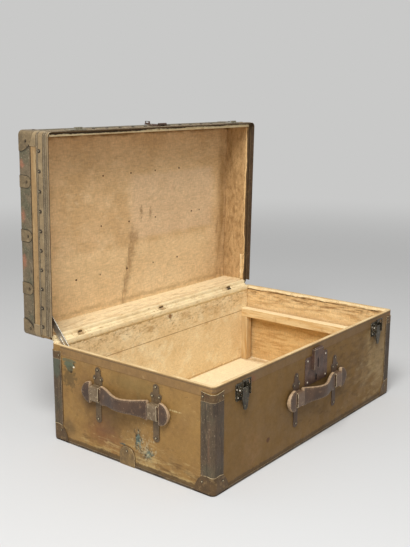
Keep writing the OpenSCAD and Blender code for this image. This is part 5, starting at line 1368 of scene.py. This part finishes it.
def findTips():
    normal = Vector((0, math.sin(hinge["openAngle"]), math.cos(hinge["openAngle"])))
    heads = []
    for z, row in tips["rows"].items():
        y = hinge["pinY"] + (tips["depth"] - (z - hinge["pinZ"]) * normal.z) / normal.y - tips["sunk"]
        for x in row:
            stretch = 1 + tips["stretch"] * math.sin(3 * len(heads))
            heads.append(((x * mm, y * mm, z * mm), tuple(-normal),
                          (tips["radius"] * mm * stretch, tips["radius"] * mm, tips["height"] * mm)))
    return heads


driveNails("rustedTips", findTips(), "lid_lining", 1.0, 0.5, "rustedTack", "rustedTack")


# Beads rolled along the upper edges of the corner caps, over the fibre strips
beads = {
    "radius": 0.55, "sides": 8, "taper": 0.45, "out": 1.9, "half": 31.0, "cornerRadius": 11.9,
    "wallX": 380.0, "wallY": 233.0, "topLevel": 217.0, "topDip": 3.5,
    "bottomLevel": 39.3, "bottomWave": 2.2, "steps": 34,
}


def beadPath(acrossX, acrossY, level):  # level(share) is the height, share from -1 to 1 along the bead
    out, half, radius = beads["out"], beads["half"], beads["cornerRadius"]
    run = half + out - radius  # straight run on each face, from the end of the rounding
    bend = radius * math.pi / 4
    reach = run + bend
    insideX, insideY = beads["wallX"] + out - radius, beads["wallY"] + out - radius
    points = []
    for i in range(beads["steps"] + 1):
        s = 2 * reach * i / beads["steps"] - reach
        angle = math.pi / 4 + max(-bend, min(bend, s)) / radius
        x = insideX + radius * math.cos(angle) - max(0, s - bend)
        y = insideY + radius * math.sin(angle) + min(0, s + bend)
        points.append(Vector((acrossX * x, acrossY * y, level(s / reach))))
    return points


def makeTube(shape, points):
    sides, last = beads["sides"], len(points) - 1
    rings = []
    for i, point in enumerate(points):
        ahead = (points[min(i + 1, last)] - points[max(i - 1, 0)]).normalized()
        side = ahead.cross(Vector((0, 0, 1))).normalized()
        up = side.cross(ahead)
        radius = beads["radius"] * (beads["taper"] if i in (0, last) else 1)
        ring = [side * math.cos(a * math.tau / sides) + up * math.sin(a * math.tau / sides)
                for a in range(sides)]
        rings.append([shape.verts.new((point + spoke * radius) * mm) for spoke in ring])
    skin(shape, rings, closed=True)


def makeBeads(name, node, level):
    shape = bmesh.new()
    for acrossX, acrossY in ((-1, -1), (-1, 1), (1, -1), (1, 1)):
        makeTube(shape, beadPath(acrossX, acrossY, level))
    settle(newPiece(name, meshOf(shape, name), "polishedBeadAndHighlight"), node)


makeBeads("topCapBeads", "base_top_caps", lambda s: beads["topLevel"] - beads["topDip"] * (1 - s * s))
makeBeads("bottomCapBeads", "base_bottom_caps",
          lambda s: beads["bottomLevel"] + beads["bottomWave"] * math.sin(math.pi * abs(s)) ** 2)
print("cap beads made")
